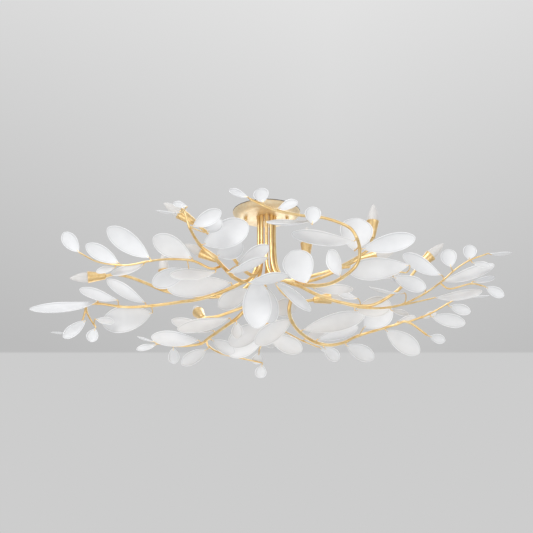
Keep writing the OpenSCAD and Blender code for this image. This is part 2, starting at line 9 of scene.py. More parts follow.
import bmesh
import bpy
import numpy as np
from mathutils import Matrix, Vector


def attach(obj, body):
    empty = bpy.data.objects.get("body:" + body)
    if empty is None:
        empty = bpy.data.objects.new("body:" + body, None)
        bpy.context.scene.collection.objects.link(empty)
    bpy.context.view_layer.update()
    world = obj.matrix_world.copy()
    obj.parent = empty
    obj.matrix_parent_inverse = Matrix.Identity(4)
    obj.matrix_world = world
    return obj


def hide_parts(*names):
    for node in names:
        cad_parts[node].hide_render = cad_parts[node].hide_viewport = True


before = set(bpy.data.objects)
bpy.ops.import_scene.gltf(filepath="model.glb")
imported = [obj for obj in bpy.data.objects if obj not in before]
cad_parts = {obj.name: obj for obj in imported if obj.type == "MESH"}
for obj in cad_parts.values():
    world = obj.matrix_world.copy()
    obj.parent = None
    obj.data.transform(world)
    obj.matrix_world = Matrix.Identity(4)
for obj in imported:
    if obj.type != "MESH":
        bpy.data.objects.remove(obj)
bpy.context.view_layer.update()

bl_info = {
    "name": "Branch ceiling light",
    "version": (1, 0, 0),
    "blender": (4, 5, 0),
    "location": "View3D > Sidebar > Branch light",
    "description": "Makes the shapes, finishes and studio of a ceiling light with gilded branches",
    "category": "Object",
}

MM = 0.001
LAMPS = range(1, 11)
FIXTURE = "fixture"

# Levels of the solid model, in millimetres from the ceiling
HUB_Z = -245.0
STEM_TOP_Z = -13.8
STEM_BEND_Z = HUB_Z + 125.0
STEM_CIRCLE_R = 26.0
FACE_Z = -19.0
RIM_Z = -2.0
NUT_Z = -19.1
NUT_X = 66.0

# Rods: step between the points of a path and of a twig, and sides of arms and of branches
PATH_STEP = 2.5
TWIG_STEP = 1.8
ARM_SIDES = 18
BRANCH_SIDES = 14

# Collars on a rod, as how far past their branch they sit, half length and share of the collar size
SPRIG_COLLAR = (4, 11, 1.6)
LAMP_COLLAR = (-5, 6, 1.2)
TWIG_COLLAR = (2, 4.5, 1.0)

# Leaf sheet: sides and rings of its mesh, the share of the rings at which the rim starts, and its spine
LEAF_SIDES = 34
LEAF_RINGS = 8
RIM_FROM = 4 / 7
SPINE_FROM = 0.13
SPINE_TO = 0.86

# Rim bead: most of the half width that it takes, and the turn and lateness of its rise
RIM_MOST = 0.4
BEAD_TURN = 2.6
BEAD_LATE = 0.7

# How far a leaf is set back, and the share of its length that it has, so that its softened rim stays
# in the solid model's box
LEAF_SINK = 0.45
LEAF_EASE = 0.999

# One entry a lamp: the stem's place on the circle in degrees, the arm's waypoints from the hub,
# and the lamp's direction. The last waypoint is the foot of the lamp cup.
ARMS = [
  [162, [[-32, 11, 50], [-60, 16, 0], [-110, 22, -28], [-200, 30, -32], [-310, 30, -15], [-375, 10, 5],
         [-430, -10, 20], [-475, -20, 25], [-502, -25, 18]], [-1, -0.08, -0.1]],
  [234, [[-20, -28, 50], [-40, -50, 12], [-72, -82, 18], [-110, -118, 52], [-145, -148, 82],
         [-182, -178, 104], [-218, -202, 125]], [-0.84, -0.2, 0.5]],
  [198, [[-33, -11, 50], [-60, -26, 2], [-92, -56, -5], [-125, -90, 15], [-152, -110, 40]],
        [-0.88, 0, 0.45]],
  [306, [[20, -28, 50], [42, -45, 5], [90, -58, -10], [150, -68, 5], [205, -90, 15], [258, -138, 25],
         [300, -182, 38], [315, -197, 54], [318, -200, 75]], [0.08, 0, 1]],
  [342, [[33, -11, 50], [60, -16, 5], [105, -18, -14], [160, -5, -38], [235, 15, -56], [325, 32, -60],
         [398, 32, -22], [440, 18, 14], [478, 2, 58]], [0.73, -0.1, 0.67]],
  [270, [[2, -35, 50], [22, -52, 5], [68, -72, -14], [100, -82, -6], [118, -84, 16], [122, -84, 48]],
        [0.04, 0, 1]],
  [18, [[33, 11, 50], [62, 18, 15], [110, 22, 12], [180, 20, 32], [245, 10, 62], [292, 0, 82]],
       [1, -0.05, 0.2]],
  [54, [[20, 28, 50], [42, 46, 0], [78, 70, -24], [115, 88, -26], [150, 100, -18]], [1, 0.1, 0.15]],
  [90, [[0, 35, 50], [-14, 58, 0], [-58, 90, -36], [-110, 118, -50], [-160, 135, -62], [-206, 150, -62]],
       [-0.3, 0.75, 0.6]],
  [126, [[-20, 28, 50], [-46, 42, 5], [-100, 50, -10], [-170, 55, -15], [-245, 58, -12], [-300, 60, -8],
         [-322, 60, 14]], [-0.1, 0, 1]]
]

# Directions that a leaf's hollow side can face: -Y is the side the photograph was taken from
FRONT = [0, -1, -0.2]
TILT = [0, -1, 0.6]
LEAN = [0, -1, 0.3]
HALF = [0, -1, 1]
LOW = [0, -1, -0.6]
EDGE = [0, -0.4, 1]
UP = [0, 0, 1]
BACK = [0, 1, 0.4]

# Sprigs whose main rod is a thick bough
BOUGHS = (2, 3, 4, 6, 7)

# One entry a sprig: [lamp arm, place on that arm as a count of waypoints], the rod's further
# waypoints from the hub, side rods as [place on the rod, waypoints], and leaves. A leaf is
# [rod, place on it, twig from the rod to the leaf's foot, foot to tip, width, hollow side].
SPRIGS = [
  [[3, 5.4], [[-170, -118, 8], [-224, -140, 25], [-293, -160, 23], [-353, -165, 15], [-419, -160, 4],
              [-475, -155, 9], [-521, -150, 21], [-568, -150, 47]],
   [],
   [[0, 8, [-4, 0, 3], [-50, -10, 60], 45, FRONT],
    [0, 5.4, [-6, -2, 6], [-100, -20, 52], 48, FRONT],
    [0, 3.9, [-8, -5, 8], [-128, -30, 86], 64, FRONT],
    [0, 2, [-4, -5, 8], [-116, -40, 52], 68, FRONT],
    [0, 5.6, [-6, 2, -8], [-58, 8, -10], 34, TILT],
    [0, 4.2, [-8, 5, -8], [-100, 20, -20], 45, TILT],
    [0, 2.2, [-4, 34, -20], [-110, 15, -42], 60, LOW],
    [0, 0.6, [-2, -12, -18], [-138, -20, -12], 58, TILT]]],
  [[3, 3.3], [[-138, -32, -37], [-206, -40, -63], [-267, -45, -75], [-360, -40, -86], [-438, -30, -86],
              [-517, -20, -72], [-562, -10, -70]],
   [[7, [[-565, -8, -98], [-575, -4, -130], [-602, 0, -158]]],
    [7, [[-558, -10, -96], [-545, -5, -120], [-529, 0, -142]]]],
   [[0, 6.1, [0, -15, 4], [-208, -20, -28], 70, HALF],
    [0, 4.1, [-8, 0, 12], [-118, -10, 75], 52, TILT],
    [0, 5.2, [-8, -18, 15], [-115, -14, 34], 50, TILT],
    [0, 3.9, [-4, 20, -17], [-155, 15, -30], 84, FRONT],
    [0, 0.5, [-8, -12, 10], [-195, -15, -26], 68, FRONT],
    [1, 1.9, [14, -12, 2], [-66, -6, -58], 38, FRONT],
    [1, 3, [-6, 0, 0], [-62, 0, 2], 28, EDGE],
    [2, 2.5, [10, -20, 8], [56, 5, -8], 36, TILT],
    [2, 3, [-2, 0, -4], [-14, 5, -42], 38, FRONT]]],
  [[9, 3.6], [[-92, 125, -68], [-134, 170, -85], [-184, 230, -101], [-218, 260, -115], [-284, 270, -119],
              [-364, 280, -106]],
   [[3.4, [[-190, 300, -112], [-148, 340, -124], [-72, 380, -131], [-15, 400, -138]]]],
   [[0, 3.9, [-10, -18, 5], [-155, 0, 15], 62, LEAN],
    [0, 1.4, [-12, -28, 2], [-165, 0, -34], 66, TILT],
    [0, 6, [-8, 0, 6], [-56, 0, 18], 30, EDGE],
    [0, 5.9, [-8, 0, -4], [-65, 0, -16], 32, TILT],
    [0, 2.6, [-10, 15, 13], [-138, 10, 44], 58, TILT],
    [0, 5.3, [0, 0, -8], [4, 10, -52], 38, FRONT],
    [0, 1.2, [5, -6, -10], [5, -10, -60], 38, FRONT],
    [0, 3.1, [10, 5, -6], [75, 30, -35], 44, FRONT],
    [1, 1, [-8, 5, -8], [-85, 20, -45], 45, FRONT],
    [1, 2, [2, 6, 8], [85, 30, 20], 46, TILT],
    [1, 4, [0, 4, -6], [-8, 10, -44], 40, FRONT]]],
  [[8, 4], [[72, 90, -55], [80, 125, -79], [108, 180, -100], [158, 230, -118], [208, 250, -122],
            [257, 250, -112], [299, 240, -94], [415, 200, -70], [458, 180, -66], [521, 200, -104]],
   [[9, [[527, 180, -39], [586, 170, -8], [632, 160, 18]]]],
   [[0, 3, [10, -5, 6], [200, -25, 42], 62, FRONT],
    [0, 4, [10, 0, 10], [132, 0, 45], 60, TILT],
    [0, 7, [18, -38, 16], [88, -10, 74], 86, FRONT],
    [0, 7.7, [6, 0, -8], [110, 25, -70], 66, FRONT],
    [0, 6, [5, 5, -10], [92, 20, -38], 54, FRONT],
    [0, 4.5, [5, 5, -10], [50, 20, -35], 42, FRONT],
    [0, 8.1, [6, 0, 10], [58, 0, 18], 30, TILT],
    [0, 10, [8, 0, -4], [52, 10, -12], 32, FRONT],
    [0, 2.1, [-2, 6, 10], [-118, 20, -76], 62, FRONT],
    [1, 0.6, [8, 14, 3], [45, 0, 20], 28, TILT],
    [1, 1, [8, 0, -8], [112, 10, -20], 46, FRONT],
    [1, 2, [8, 0, -8], [70, 10, -15], 36, FRONT],
    [1, 3, [8, 0, 2], [85, 0, 0], 30, EDGE]]],
  [[5, 5.4], [[300, 34, -66], [404, 34, -62], [482, 20, -33], [544, 0, 4], [590, -20, 40],
              [637, -30, 69], [689, -30, 89]],
   [[2, [[452, 22, -56], [521, 14, -42]]],
    [4, [[575, 4, -14], [641, 2, 2], [679, 0, -6]]]],
   [[0, 4.1, [-5, -28, 12], [-118, -25, 60], 60, LEAN],
    [0, 0.75, [10, 34, -4], [114, 10, 26], 68, FRONT],
    [0, 3.2, [-8, -19, 15], [-98, -20, 28], 50, TILT],
    [0, 1.8, [8, 5, -8], [56, 10, -10], 30, TILT],
    [0, 0.9, [-6, -36, 16], [-60, -5, 16], 34, TILT],
    [0, 2.3, [0, -39, 23], [-110, -5, 22], 44, EDGE],
    [0, 4, [10, 0, 6], [165, 0, 60], 56, TILT],
    [0, 6, [8, 0, -8], [58, 0, -12], 32, TILT],
    [0, 4.8, [-4, -14, 12], [-12, -12, 56], 52, FRONT],
    [0, 5.9, [2, -6, 2], [5, -10, 46], 44, FRONT],
    [0, 7, [8, 0, 2], [74, 0, 4], 28, UP],
    [1, 2, [8, 0, 2], [150, 0, 26], 46, TILT],
    [2, 3, [8, 0, -4], [58, 10, -26], 34, FRONT],
    [2, 2, [8, 0, 8], [70, 0, 15], 28, TILT]]],
  [[4, 4], [[122, -80, -32], [170, -115, -45], [210, -160, -48], [249, -210, -37], [272, -240, -17],
            [276, -270, 10], [266, -300, 36], [245, -320, 60], [200, -340, 74], [156, -350, 82],
            [98, -360, 84], [25, -370, 96], [-7, -375, 108], [-50, -380, 128]],
   [],
   [[0, 7, [-8, -10, -12], [-186, -20, 18], 72, TILT],
    [0, 10.3, [-8, 0, -12], [-134, -10, -6], 60, [0, -0.7, 1]],
    [0, 11.8, [-4, -8, 4], [58, -10, 18], 46, TILT],
    [0, 10.5, [5, -14, -30], [2, -12, 50], 48, FRONT],
    [0, 13, [-2, -8, 7], [-12, -10, 40], 46, FRONT],
    [0, 14, [-5, 0, 5], [-54, -10, 20], 34, TILT],
    [0, 6.2, [-14, 24, 0], [14, 15, 112], 100, FRONT],
    [0, 3.4, [-4, 8, 10], [-34, 20, 90], 58, [-1, -0.8, 0]],
    [0, 0.5, [17, -56, -20], [-44, -10, 103], 96, FRONT],
    [0, 6, [8, -2, 3], [158, -12, 32], 58, FRONT],
    [0, 1.4, [6, 8, -6], [122, 20, 8], 50, TILT]]],
  [[3, 4.4], [[-156, -136, 32], [-202, -170, 65], [-230, -230, 96], [-246, -265, 140]],
   [],
   [[0, 4, [-10, 0, -8], [-75, -10, 5], 32, EDGE],
    [0, 4, [8, -4, 10], [-42, -6, 8], 32, TILT],
    [0, 3, [8, 0, 6], [86, -20, 42], 48, FRONT],
    [0, 3, [52, 20, -6], [40, 0, 44], 46, FRONT],
    [0, 2, [10, -5, 0], [138, -20, 58], 88, FRONT],
    [0, 1.1, [10, -4, 4], [78, -10, 42], 72, FRONT],
    [0, 0.2, [28, -28, 15], [94, -14, 60], 52, [0, -1, 0.2]],
    [0, 0.3, [3, -37, -19], [120, -12, 47], 70, UP],
    [0, 0.05, [51, -47, -42], [124, -34, 17], 78, UP]]],
  [[4, 6.2], [[262, -95, 22], [320, -78, 32], [380, -65, 22], [430, -60, 16]],
   [],
   [[0, 1.4, [14, 48, -11], [116, -10, 6], 50, TILT],
    [0, 4, [8, -34, 12], [-186, -20, -26], 72, FRONT],
    [0, 3.2, [4, 14, -16], [100, 0, -36], 50, FRONT]]],
  [[6, 3.4], [[-6, -62, -6], [-30, -72, -20]],
   [],
   [[0, 2, [-1, -12, 15], [4, -8, -170], 90, FRONT],
    [0, 1.6, [22, 22, -12], [14, 30, -110], 62, FRONT],
    [0, 0.8, [24, 4, -10], [110, 10, -92], 50, [-0.6, -0.5, -0.7]],
    [0, 1.2, [-40, 30, -22], [-100, 40, -42], 60, FRONT]]],
  [[9, 3.1], [[-6, 95, -40], [5, 150, -75], [0, 230, -92], [-15, 300, -100], [-25, 350, -110]],
   [[2, [[60, 220, -85], [120, 290, -95], [170, 340, -100]]]],
   [[0, 2, [-8, 0, -8], [-120, 20, -62], 68, FRONT],
    [0, 3, [8, 0, -8], [110, 20, -40], 60, FRONT],
    [0, 3.5, [-8, 0, -8], [-115, 40, -30], 60, FRONT],
    [0, 5, [0, 8, -4], [-10, 70, -20], 40, UP],
    [0, 4.4, [6, 4, 8], [54, 60, 36], 44, BACK],
    [0, 1.3, [8, 6, 6], [90, 80, 40], 60, BACK],
    [1, 1, [-6, 4, 8], [-60, 90, 50], 56, BACK],
    [1, 2, [8, 4, 8], [90, 50, 40], 54, BACK],
    [1, 3, [6, 4, 0], [70, 50, -10], 40, UP]]]
]

# Half section of the flame-shaped glass: shares of its length and of its greatest radius
GLASS = [[0, 0.4], [0.05, 0.62], [0.12, 0.84], [0.22, 0.96], [0.32, 1], [0.44, 0.97],
         [0.56, 0.88], [0.68, 0.74], [0.8, 0.54], [0.9, 0.34], [0.97, 0.15], [1, 0]]
BASE_FROM = 6.2
GLASS_FROM = 30.2
GLASS_LENGTH = 82.0


def unit(v):
    v = np.asarray(v, dtype=float)
    return v / np.linalg.norm(v)


def on_curve(points, place):
    """Point of the smooth curve through the waypoints, where whole numbers are the waypoints."""
    i = min(int(place), len(points) - 2)
    t = place - i
    a, b = points[i], points[i + 1]
    before = points[i - 1] if i > 0 else 2 * a - b
    after = points[i + 2] if i < len(points) - 2 else 2 * b - a
    square = (2 * before - 5 * a + 4 * b - after) * t * t
    return 0.5 * (2 * a + (b - before) * t + square + (3 * a - before - 3 * b + after) * t ** 3)


def at_hub(rows):
    return [np.array(row, dtype=float) + [0, 0, HUB_Z] for row in rows]


def stem_foot(k):
    turn = math.radians(ARMS[k - 1][0])
    return STEM_CIRCLE_R * math.cos(turn), STEM_CIRCLE_R * math.sin(turn)


def arm_points(k):
    x, y = stem_foot(k)
    return [np.array([x, y, STEM_TOP_Z]), np.array([x, y, STEM_BEND_Z])] + at_hub(ARMS[k - 1][1])


def lamp_foot(k):
    return arm_points(k)[-1]


def lamp_axis(k):
    return unit(ARMS[k - 1][2])


def sprig_points(k):
    (arm, place), rest = SPRIGS[k - 1][0], SPRIGS[k - 1][1]
    return [on_curve(arm_points(arm), place)] + at_hub(rest)


def rod_points(k, rod):
    if rod == 0:
        return sprig_points(k)
    place, rest = SPRIGS[k - 1][2][rod - 1]
    return [on_curve(sprig_points(k), place)] + at_hub(rest)


def along_curve(points, place):
    """Direction in which the curve runs at a place."""
    last = len(points) - 1
    ahead, behind = min(place + 0.05, last - 0.001), max(place - 0.05, 0)
    return unit(on_curve(points, ahead) - on_curve(points, behind))


class Walk:
    """A smooth curve walked in even steps, which knows how far along each waypoint place lies."""

    def __init__(self, waypoints, step):
        last = len(waypoints) - 1
        self.places = np.linspace(0, last - 1e-6, 40 * last + 1)
        fine = np.array([on_curve(waypoints, s) for s in self.places])
        runs = np.linalg.norm(np.diff(fine, axis=0), axis=1)
        self.reach = np.concatenate([[0], np.cumsum(runs)])
        self.length = self.reach[-1]
        self.at = np.linspace(0, self.length, max(4, int(self.length / step) + 1))
        self.points = np.stack([np.interp(self.at, self.reach, fine[:, i]) for i in range(3)], axis=1)

    def distance(self, place):
        return float(np.interp(place, self.places, self.reach))


def collar_at(distance, collar):
    """Centre, half length and share of a collar that belongs to a place along its rod."""
    past, half, share = collar
    return distance + past, half, share


def sleeve(at, centre, half, soft):
    """One inside a sleeve round a centre and nought outside, with soft shoulders."""
    t = np.clip((half + soft - np.abs(at - centre)) / soft, 0, 1)
    return t * t * (3 - 2 * t)


def rod_radii(walk, start_d, end_d, joints, swell, rounded=True):
    """Radius along a rod that tapers, is thicker under its collars and has a rounded end."""
    radii = (start_d + (end_d - start_d) * walk.at / walk.length) / 2
    thick = np.zeros_like(radii)
    for centre, half, share in joints:
        thick = np.maximum(thick, share * sleeve(walk.at, centre, half, 1.6))
    radii = radii + swell * thick
    if rounded:
        left = np.clip((walk.length - walk.at) / radii, 0.05, 1)
        radii = radii * np.sqrt(1 - (1 - left) ** 2)
    return radii


def rod_sizes(k, rod, sizes):
    """Diameters of a sprig's rod at its start and at its tip."""
    if k in BOUGHS:
        return (sizes.bough_tip_d, sizes.rod_tip_d) if rod else (sizes.bough_d, sizes.bough_tip_d)
    return sizes.side_rod_d if rod else sizes.rod_d, sizes.rod_tip_d


def leaf_frame(row):
    """Directions of a leaf: along it, across it, and out of its hollow side."""
    along = unit(row[3])
    hint = np.asarray(row[5], dtype=float)
    facing = unit(hint - along * np.dot(hint, along))
    return along, np.cross(facing, along), facing


def leaf_foot(k, row):
    return on_curve(rod_points(k, row[0]), row[1]) + np.asarray(row[2], dtype=float)


def root_depth(share, sizes):
    """How far a leaf has dipped behind its foot at a share of its length."""
    peak = math.sqrt(sizes.leaf_bend ** 2 - sizes.leaf_belly ** 2)
    return peak - math.sqrt(sizes.leaf_bend ** 2 - (share - sizes.leaf_belly) ** 2)


def twig_walk(k, row, sizes):
    """Twig that leaves its rod with a bend and tucks under the leaf's foot."""
    points = rod_points(k, row[0])
    start, foot = on_curve(points, row[1]), leaf_foot(k, row)
    along, _, facing = leaf_frame(row)
    length = np.linalg.norm(row[3])
    tuck = min(11.0, 0.2 * length)
    under = foot + along * tuck + facing * (length * root_depth(tuck / length, sizes) - 0.6)
    reach = np.linalg.norm(foot - start)
    bend = min(0.34 * reach, 10.0)
    forward = along_curve(points, row[1])
    first, last = start + forward * bend, foot - unit(under - foot) * bend
    path = []
    for t in np.linspace(0, 1, 11):
        early = (1 - t) ** 3 * start + 3 * t * (1 - t) ** 2 * first
        path.append(early + 3 * t * t * (1 - t) * last + t ** 3 * foot)
    return Walk(path + [under], TWIG_STEP)


# Mesh helpers
def linked(name, mesh):
    obj = bpy.data.objects.new(name, mesh)
    bpy.context.scene.collection.objects.link(obj)
    return obj


def paths_mesh(name, paths):
    """Open polylines with a radius at each point, for the tree that sweeps them."""
    points, edges, radii = [], [], []
    for path, path_radii in paths:
        first = len(points)
        points += [tuple(p * MM) for p in path]
        radii += [r * MM for r in path_radii]
        edges += [(first + i, first + i + 1) for i in range(len(path) - 1)]
    mesh = bpy.data.meshes.new(name)
    mesh.from_pydata(points, edges, [])
    mesh.attributes.new("rod_radius", "FLOAT", "POINT").data.foreach_set("value", radii)
    return linked(name, mesh)


def points_mesh(name, rows):
    """Loose points with the named attributes of each row, for a tree that sets pieces out on them."""
    mesh = bpy.data.meshes.new(name)
    mesh.from_pydata([tuple(np.asarray(row["place"]) * MM) for row in rows], [], [])
    for key, value in rows[0].items():
        if np.ndim(value):
            layer = mesh.attributes.new(key, "FLOAT_VECTOR", "POINT")
            layer.data.foreach_set("vector", np.array([row[key] for row in rows], dtype=float).ravel())
        else:
            layer = mesh.attributes.new(key, "FLOAT", "POINT")
            layer.data.foreach_set("value", [row[key] for row in rows])
    return linked(name, mesh)


def turned(name, section, sides):
    """Solid turned about Z from (radius, height) points that end on the axis or close."""
    mesh = bpy.data.meshes.new(name)
    bm = bmesh.new()
    first = [bm.verts.new((r * MM, 0, z * MM)) for r, z in section]
    edges = [bm.edges.new((a, b)) for a, b in zip(first, first[1:])]
    bmesh.ops.spin(bm, geom=first + edges, axis=(0, 0, 1), cent=(0, 0, 0), angle=math.tau,
                   steps=sides, use_merge=True)
    bmesh.ops.remove_doubles(bm, verts=bm.verts, dist=1e-6)
    bmesh.ops.recalc_face_normals(bm, faces=bm.faces)
    for face in bm.faces:
        face.smooth = True
    bm.to_mesh(mesh)
    bm.free()
    return linked(name, mesh)


def made(name, source, tree, values):
    """Runs a tree on a source object and keeps its result as a plain mesh under a new name."""
    modifier = source.modifiers.new("Making", "NODES")
    modifier.node_group = tree
    for item in tree.interface.items_tree:
        if item.in_out == "INPUT" and item.name in values:
            modifier[item.identifier] = values[item.name]
    graph = bpy.context.evaluated_depsgraph_get()
    mesh = bpy.data.meshes.new_from_object(
        source.evaluated_get(graph), preserve_all_data_layers=True, depsgraph=graph)
    mesh.name = name
    bpy.data.objects.remove(source)
    if not len(mesh.polygons):
        raise RuntimeError("the tree made no faces for " + name)
    return linked(name, mesh)


def hand_over(piece, body, node=None):
    """Puts a piece under the body it moves with, and hides the solid that it replaces, if one is given.
    """
    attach(piece, body)
    if node:
        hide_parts(node)


def feed(tree, node, links):
    """Links or sets a node's inputs; a node stands for its first output."""
    for key, value in links.items():
        if isinstance(value, bpy.types.Node):
            value = value.outputs[0]
        if isinstance(value, bpy.types.NodeSocket):
            tree.links.new(value, node.inputs[key])
        else:
            node.inputs[key].default_value = value


def add(tree, kind, links=None, **settings):
    """Adds a node with its settings, and feeds its inputs."""
    node = tree.nodes.new(kind)
    for key, value in settings.items():
        setattr(node, key, value)
    feed(tree, node, links or {})
    return node


def new_tree(name, inputs):
    """Empty geometry tree with a geometry input, the named inputs and a geometry output."""
    tree = bpy.data.node_groups.new(name, "GeometryNodeTree")
    tree.interface.new_socket("Source", in_out="INPUT", socket_type="NodeSocketGeometry")
    for label, kind in inputs:
        tree.interface.new_socket(label, in_out="INPUT", socket_type=kind)
    tree.interface.new_socket("Result", in_out="OUTPUT", socket_type="NodeSocketGeometry")
    return tree, add(tree, "NodeGroupInput").outputs, add(tree, "NodeGroupOutput")


def finish_tree(tree, shape, given, result):
    """Makes what a tree has laid out real, gives it its finish and hands it over."""
    real = add(tree, "GeometryNodeRealizeInstances", {"Geometry": shape})
    finished = add(tree, "GeometryNodeSetMaterial", {"Geometry": real, "Material": given["Finish"]})
    tree.links.new(finished.outputs[0], result.inputs[0])


def rod_tree():
    """Sweeps a round section along each path, as thick as the path's radius says."""
    tree, given, result = new_tree("Rods along their paths", [
        ("Sides", "NodeSocketInt"), ("Finish", "NodeSocketMaterial")])
    thick = add(tree, "GeometryNodeInputNamedAttribute", {"Name": "rod_radius"}, data_type="FLOAT")
    path = add(tree, "GeometryNodeMeshToCurve", {"Mesh": given["Source"]})
    path = add(tree, "GeometryNodeSetCurveRadius", {"Curve": path, "Radius": thick})
    ring = add(tree, "GeometryNodeCurvePrimitiveCircle", {"Resolution": given["Sides"], "Radius": 1.0})
    swept = add(tree, "GeometryNodeCurveToMesh", {"Curve": path, "Profile Curve": ring.outputs["Curve"],
                                                   "Fill Caps": True})
    if "Scale" in swept.inputs:
        tree.links.new(thick.outputs[0], swept.inputs["Scale"])
    smooth = add(tree, "GeometryNodeSetShadeSmooth", {"Geometry": swept})
    finish_tree(tree, smooth, given, result)
    return tree


def lamp_tree():
    """Sets a turned piece out on each point, with its axis along the point's aim."""
    tree, given, result = new_tree("Turned pieces set on points", [
        ("Piece", "NodeSocketObject"), ("Finish", "NodeSocketMaterial")])
    aim = add(tree, "GeometryNodeInputNamedAttribute", {"Name": "aim"}, data_type="FLOAT_VECTOR")
    turn = add(tree, "FunctionNodeAlignRotationToVector", {"Vector": aim}, axis="Z")
    piece = add(tree, "GeometryNodeObjectInfo", {"Object": given["Piece"]})
    points = add(tree, "GeometryNodeMeshToPoints", {"Mesh": given["Source"]})
    copies = add(tree, "GeometryNodeInstanceOnPoints", {
        "Points": points, "Instance": piece.outputs["Geometry"], "Rotation": turn})
    finish_tree(tree, copies, given, result)
    return tree


def work_out(tree, known, steps):
    """Adds a node a step, as (result, what is done, inputs); a word names an input or earlier result."""
    kinds = {"MAP": "ShaderNodeMapRange", "MIX": "ShaderNodeMix"}
    for name, task, *inputs in steps:
        links = {i: known.get(value, value) for i, value in enumerate(inputs) if value is not None}
        if task in kinds:
            known[name] = add(tree, kinds[task], links)
        else:
            known[name] = add(tree, "ShaderNodeMath", links, operation=task)


LEAF_NUMBERS = ("Bend along", "Bend across", "Belly", "Foot draw", "Tip draw", "Rim height", "Rim width")
LEAF_STEPS = (
    ("turn", "MULTIPLY", "round", math.tau),
    ("cosine", "COSINE", "turn"),
    ("sine", "SINE", "turn"),
    ("side", "SIGN", "sine"),
    # Outline: share of the length, and half width that is drawn in at the foot and blunt at the tip
    ("share", "MAP", "cosine", 1.0, -1.0, 0.0, 1.0),
    ("left", "MAP", "cosine", 1.0, -1.0, 1.0, 0.0),
    ("foot_part", "POWER", "share", "Foot draw"),
    ("tip_part", "POWER", "left", "Tip draw"),
    ("outline", "MULTIPLY", "foot_part", "tip_part"),
    ("both", "ADD", "Foot draw", "Tip draw"),
    ("widest", "DIVIDE", "Foot draw", "both"),
    ("rest", "SUBTRACT", 1.0, "widest"),
    ("foot_most", "POWER", "widest", "Foot draw"),
    ("tip_most", "POWER", "rest", "Tip draw"),
    ("most", "MULTIPLY", "foot_most", "tip_most"),
    ("outline", "DIVIDE", "outline", "most"),
    ("half", "MULTIPLY", "leaf_width", 0.5),
    ("edge", "MULTIPLY", "outline", "half"),
    ("edge", "MULTIPLY", "edge", "side"),
    # Rings: even over the blade, then close together across the rim, whose width is a real size
    ("blade", "MAP", "outward", 0.0, RIM_FROM, 0.0, 1.0),
    ("rim", "MAP", "outward", RIM_FROM, 1.0, 0.0, 1.0),
    ("rim_share", "DIVIDE", "Rim width", "half"),
    ("rim_share", "MINIMUM", "rim_share", RIM_MOST),
    ("inner", "SUBTRACT", 1.0, "rim_share"),
    ("out", "MULTIPLY", "blade", "inner"),
    ("out", "MULTIPLY_ADD", "rim", "rim_share", "out"),
    ("spine", "MAP", "cosine", 1.0, -1.0, SPINE_FROM, SPINE_TO),
    ("x_share", "MIX", "out", None, "spine", "share"),
    ("x", "MULTIPLY", "x_share", "leaf_length"),
    ("y", "MULTIPLY", "edge", "out"),
    ("y_share", "DIVIDE", "y", "leaf_width"),
    # Dish: an arc along the leaf and an arc across it
    ("bend_sq", "POWER", "Bend along", 2.0),
    ("belly_sq", "POWER", "Belly", 2.0),
    ("peak", "SUBTRACT", "bend_sq", "belly_sq"),
    ("peak", "SQRT", "peak"),
    ("off", "SUBTRACT", "x_share", "Belly"),
    ("off", "MULTIPLY", "off", "off"),
    ("arc", "SUBTRACT", "bend_sq", "off"),
    ("arc", "SQRT", "arc"),
    ("long_dip", "SUBTRACT", "peak", "arc"),
    ("long_dip", "MULTIPLY", "long_dip", "leaf_length"),
    ("cup_sq", "POWER", "Bend across", 2.0),
    ("y_sq", "MULTIPLY", "y_share", "y_share"),
    ("cup", "SUBTRACT", "cup_sq", "y_sq"),
    ("cup", "SQRT", "cup"),
    ("cup", "SUBTRACT", "Bend across", "cup"),
    ("cup", "MULTIPLY", "cup", "leaf_width"),
    ("dish", "ADD", "long_dip", "cup"),
    # Rolled rim: a bead that rises behind a small groove
    ("swell", "MULTIPLY", "rim", BEAD_TURN),
    ("swell", "SINE", "swell"),
    ("late", "POWER", "rim", BEAD_LATE),
    ("bead", "MULTIPLY", "swell", "late"),
    ("z", "MULTIPLY_ADD", "bead", "Rim height", "dish"),
)


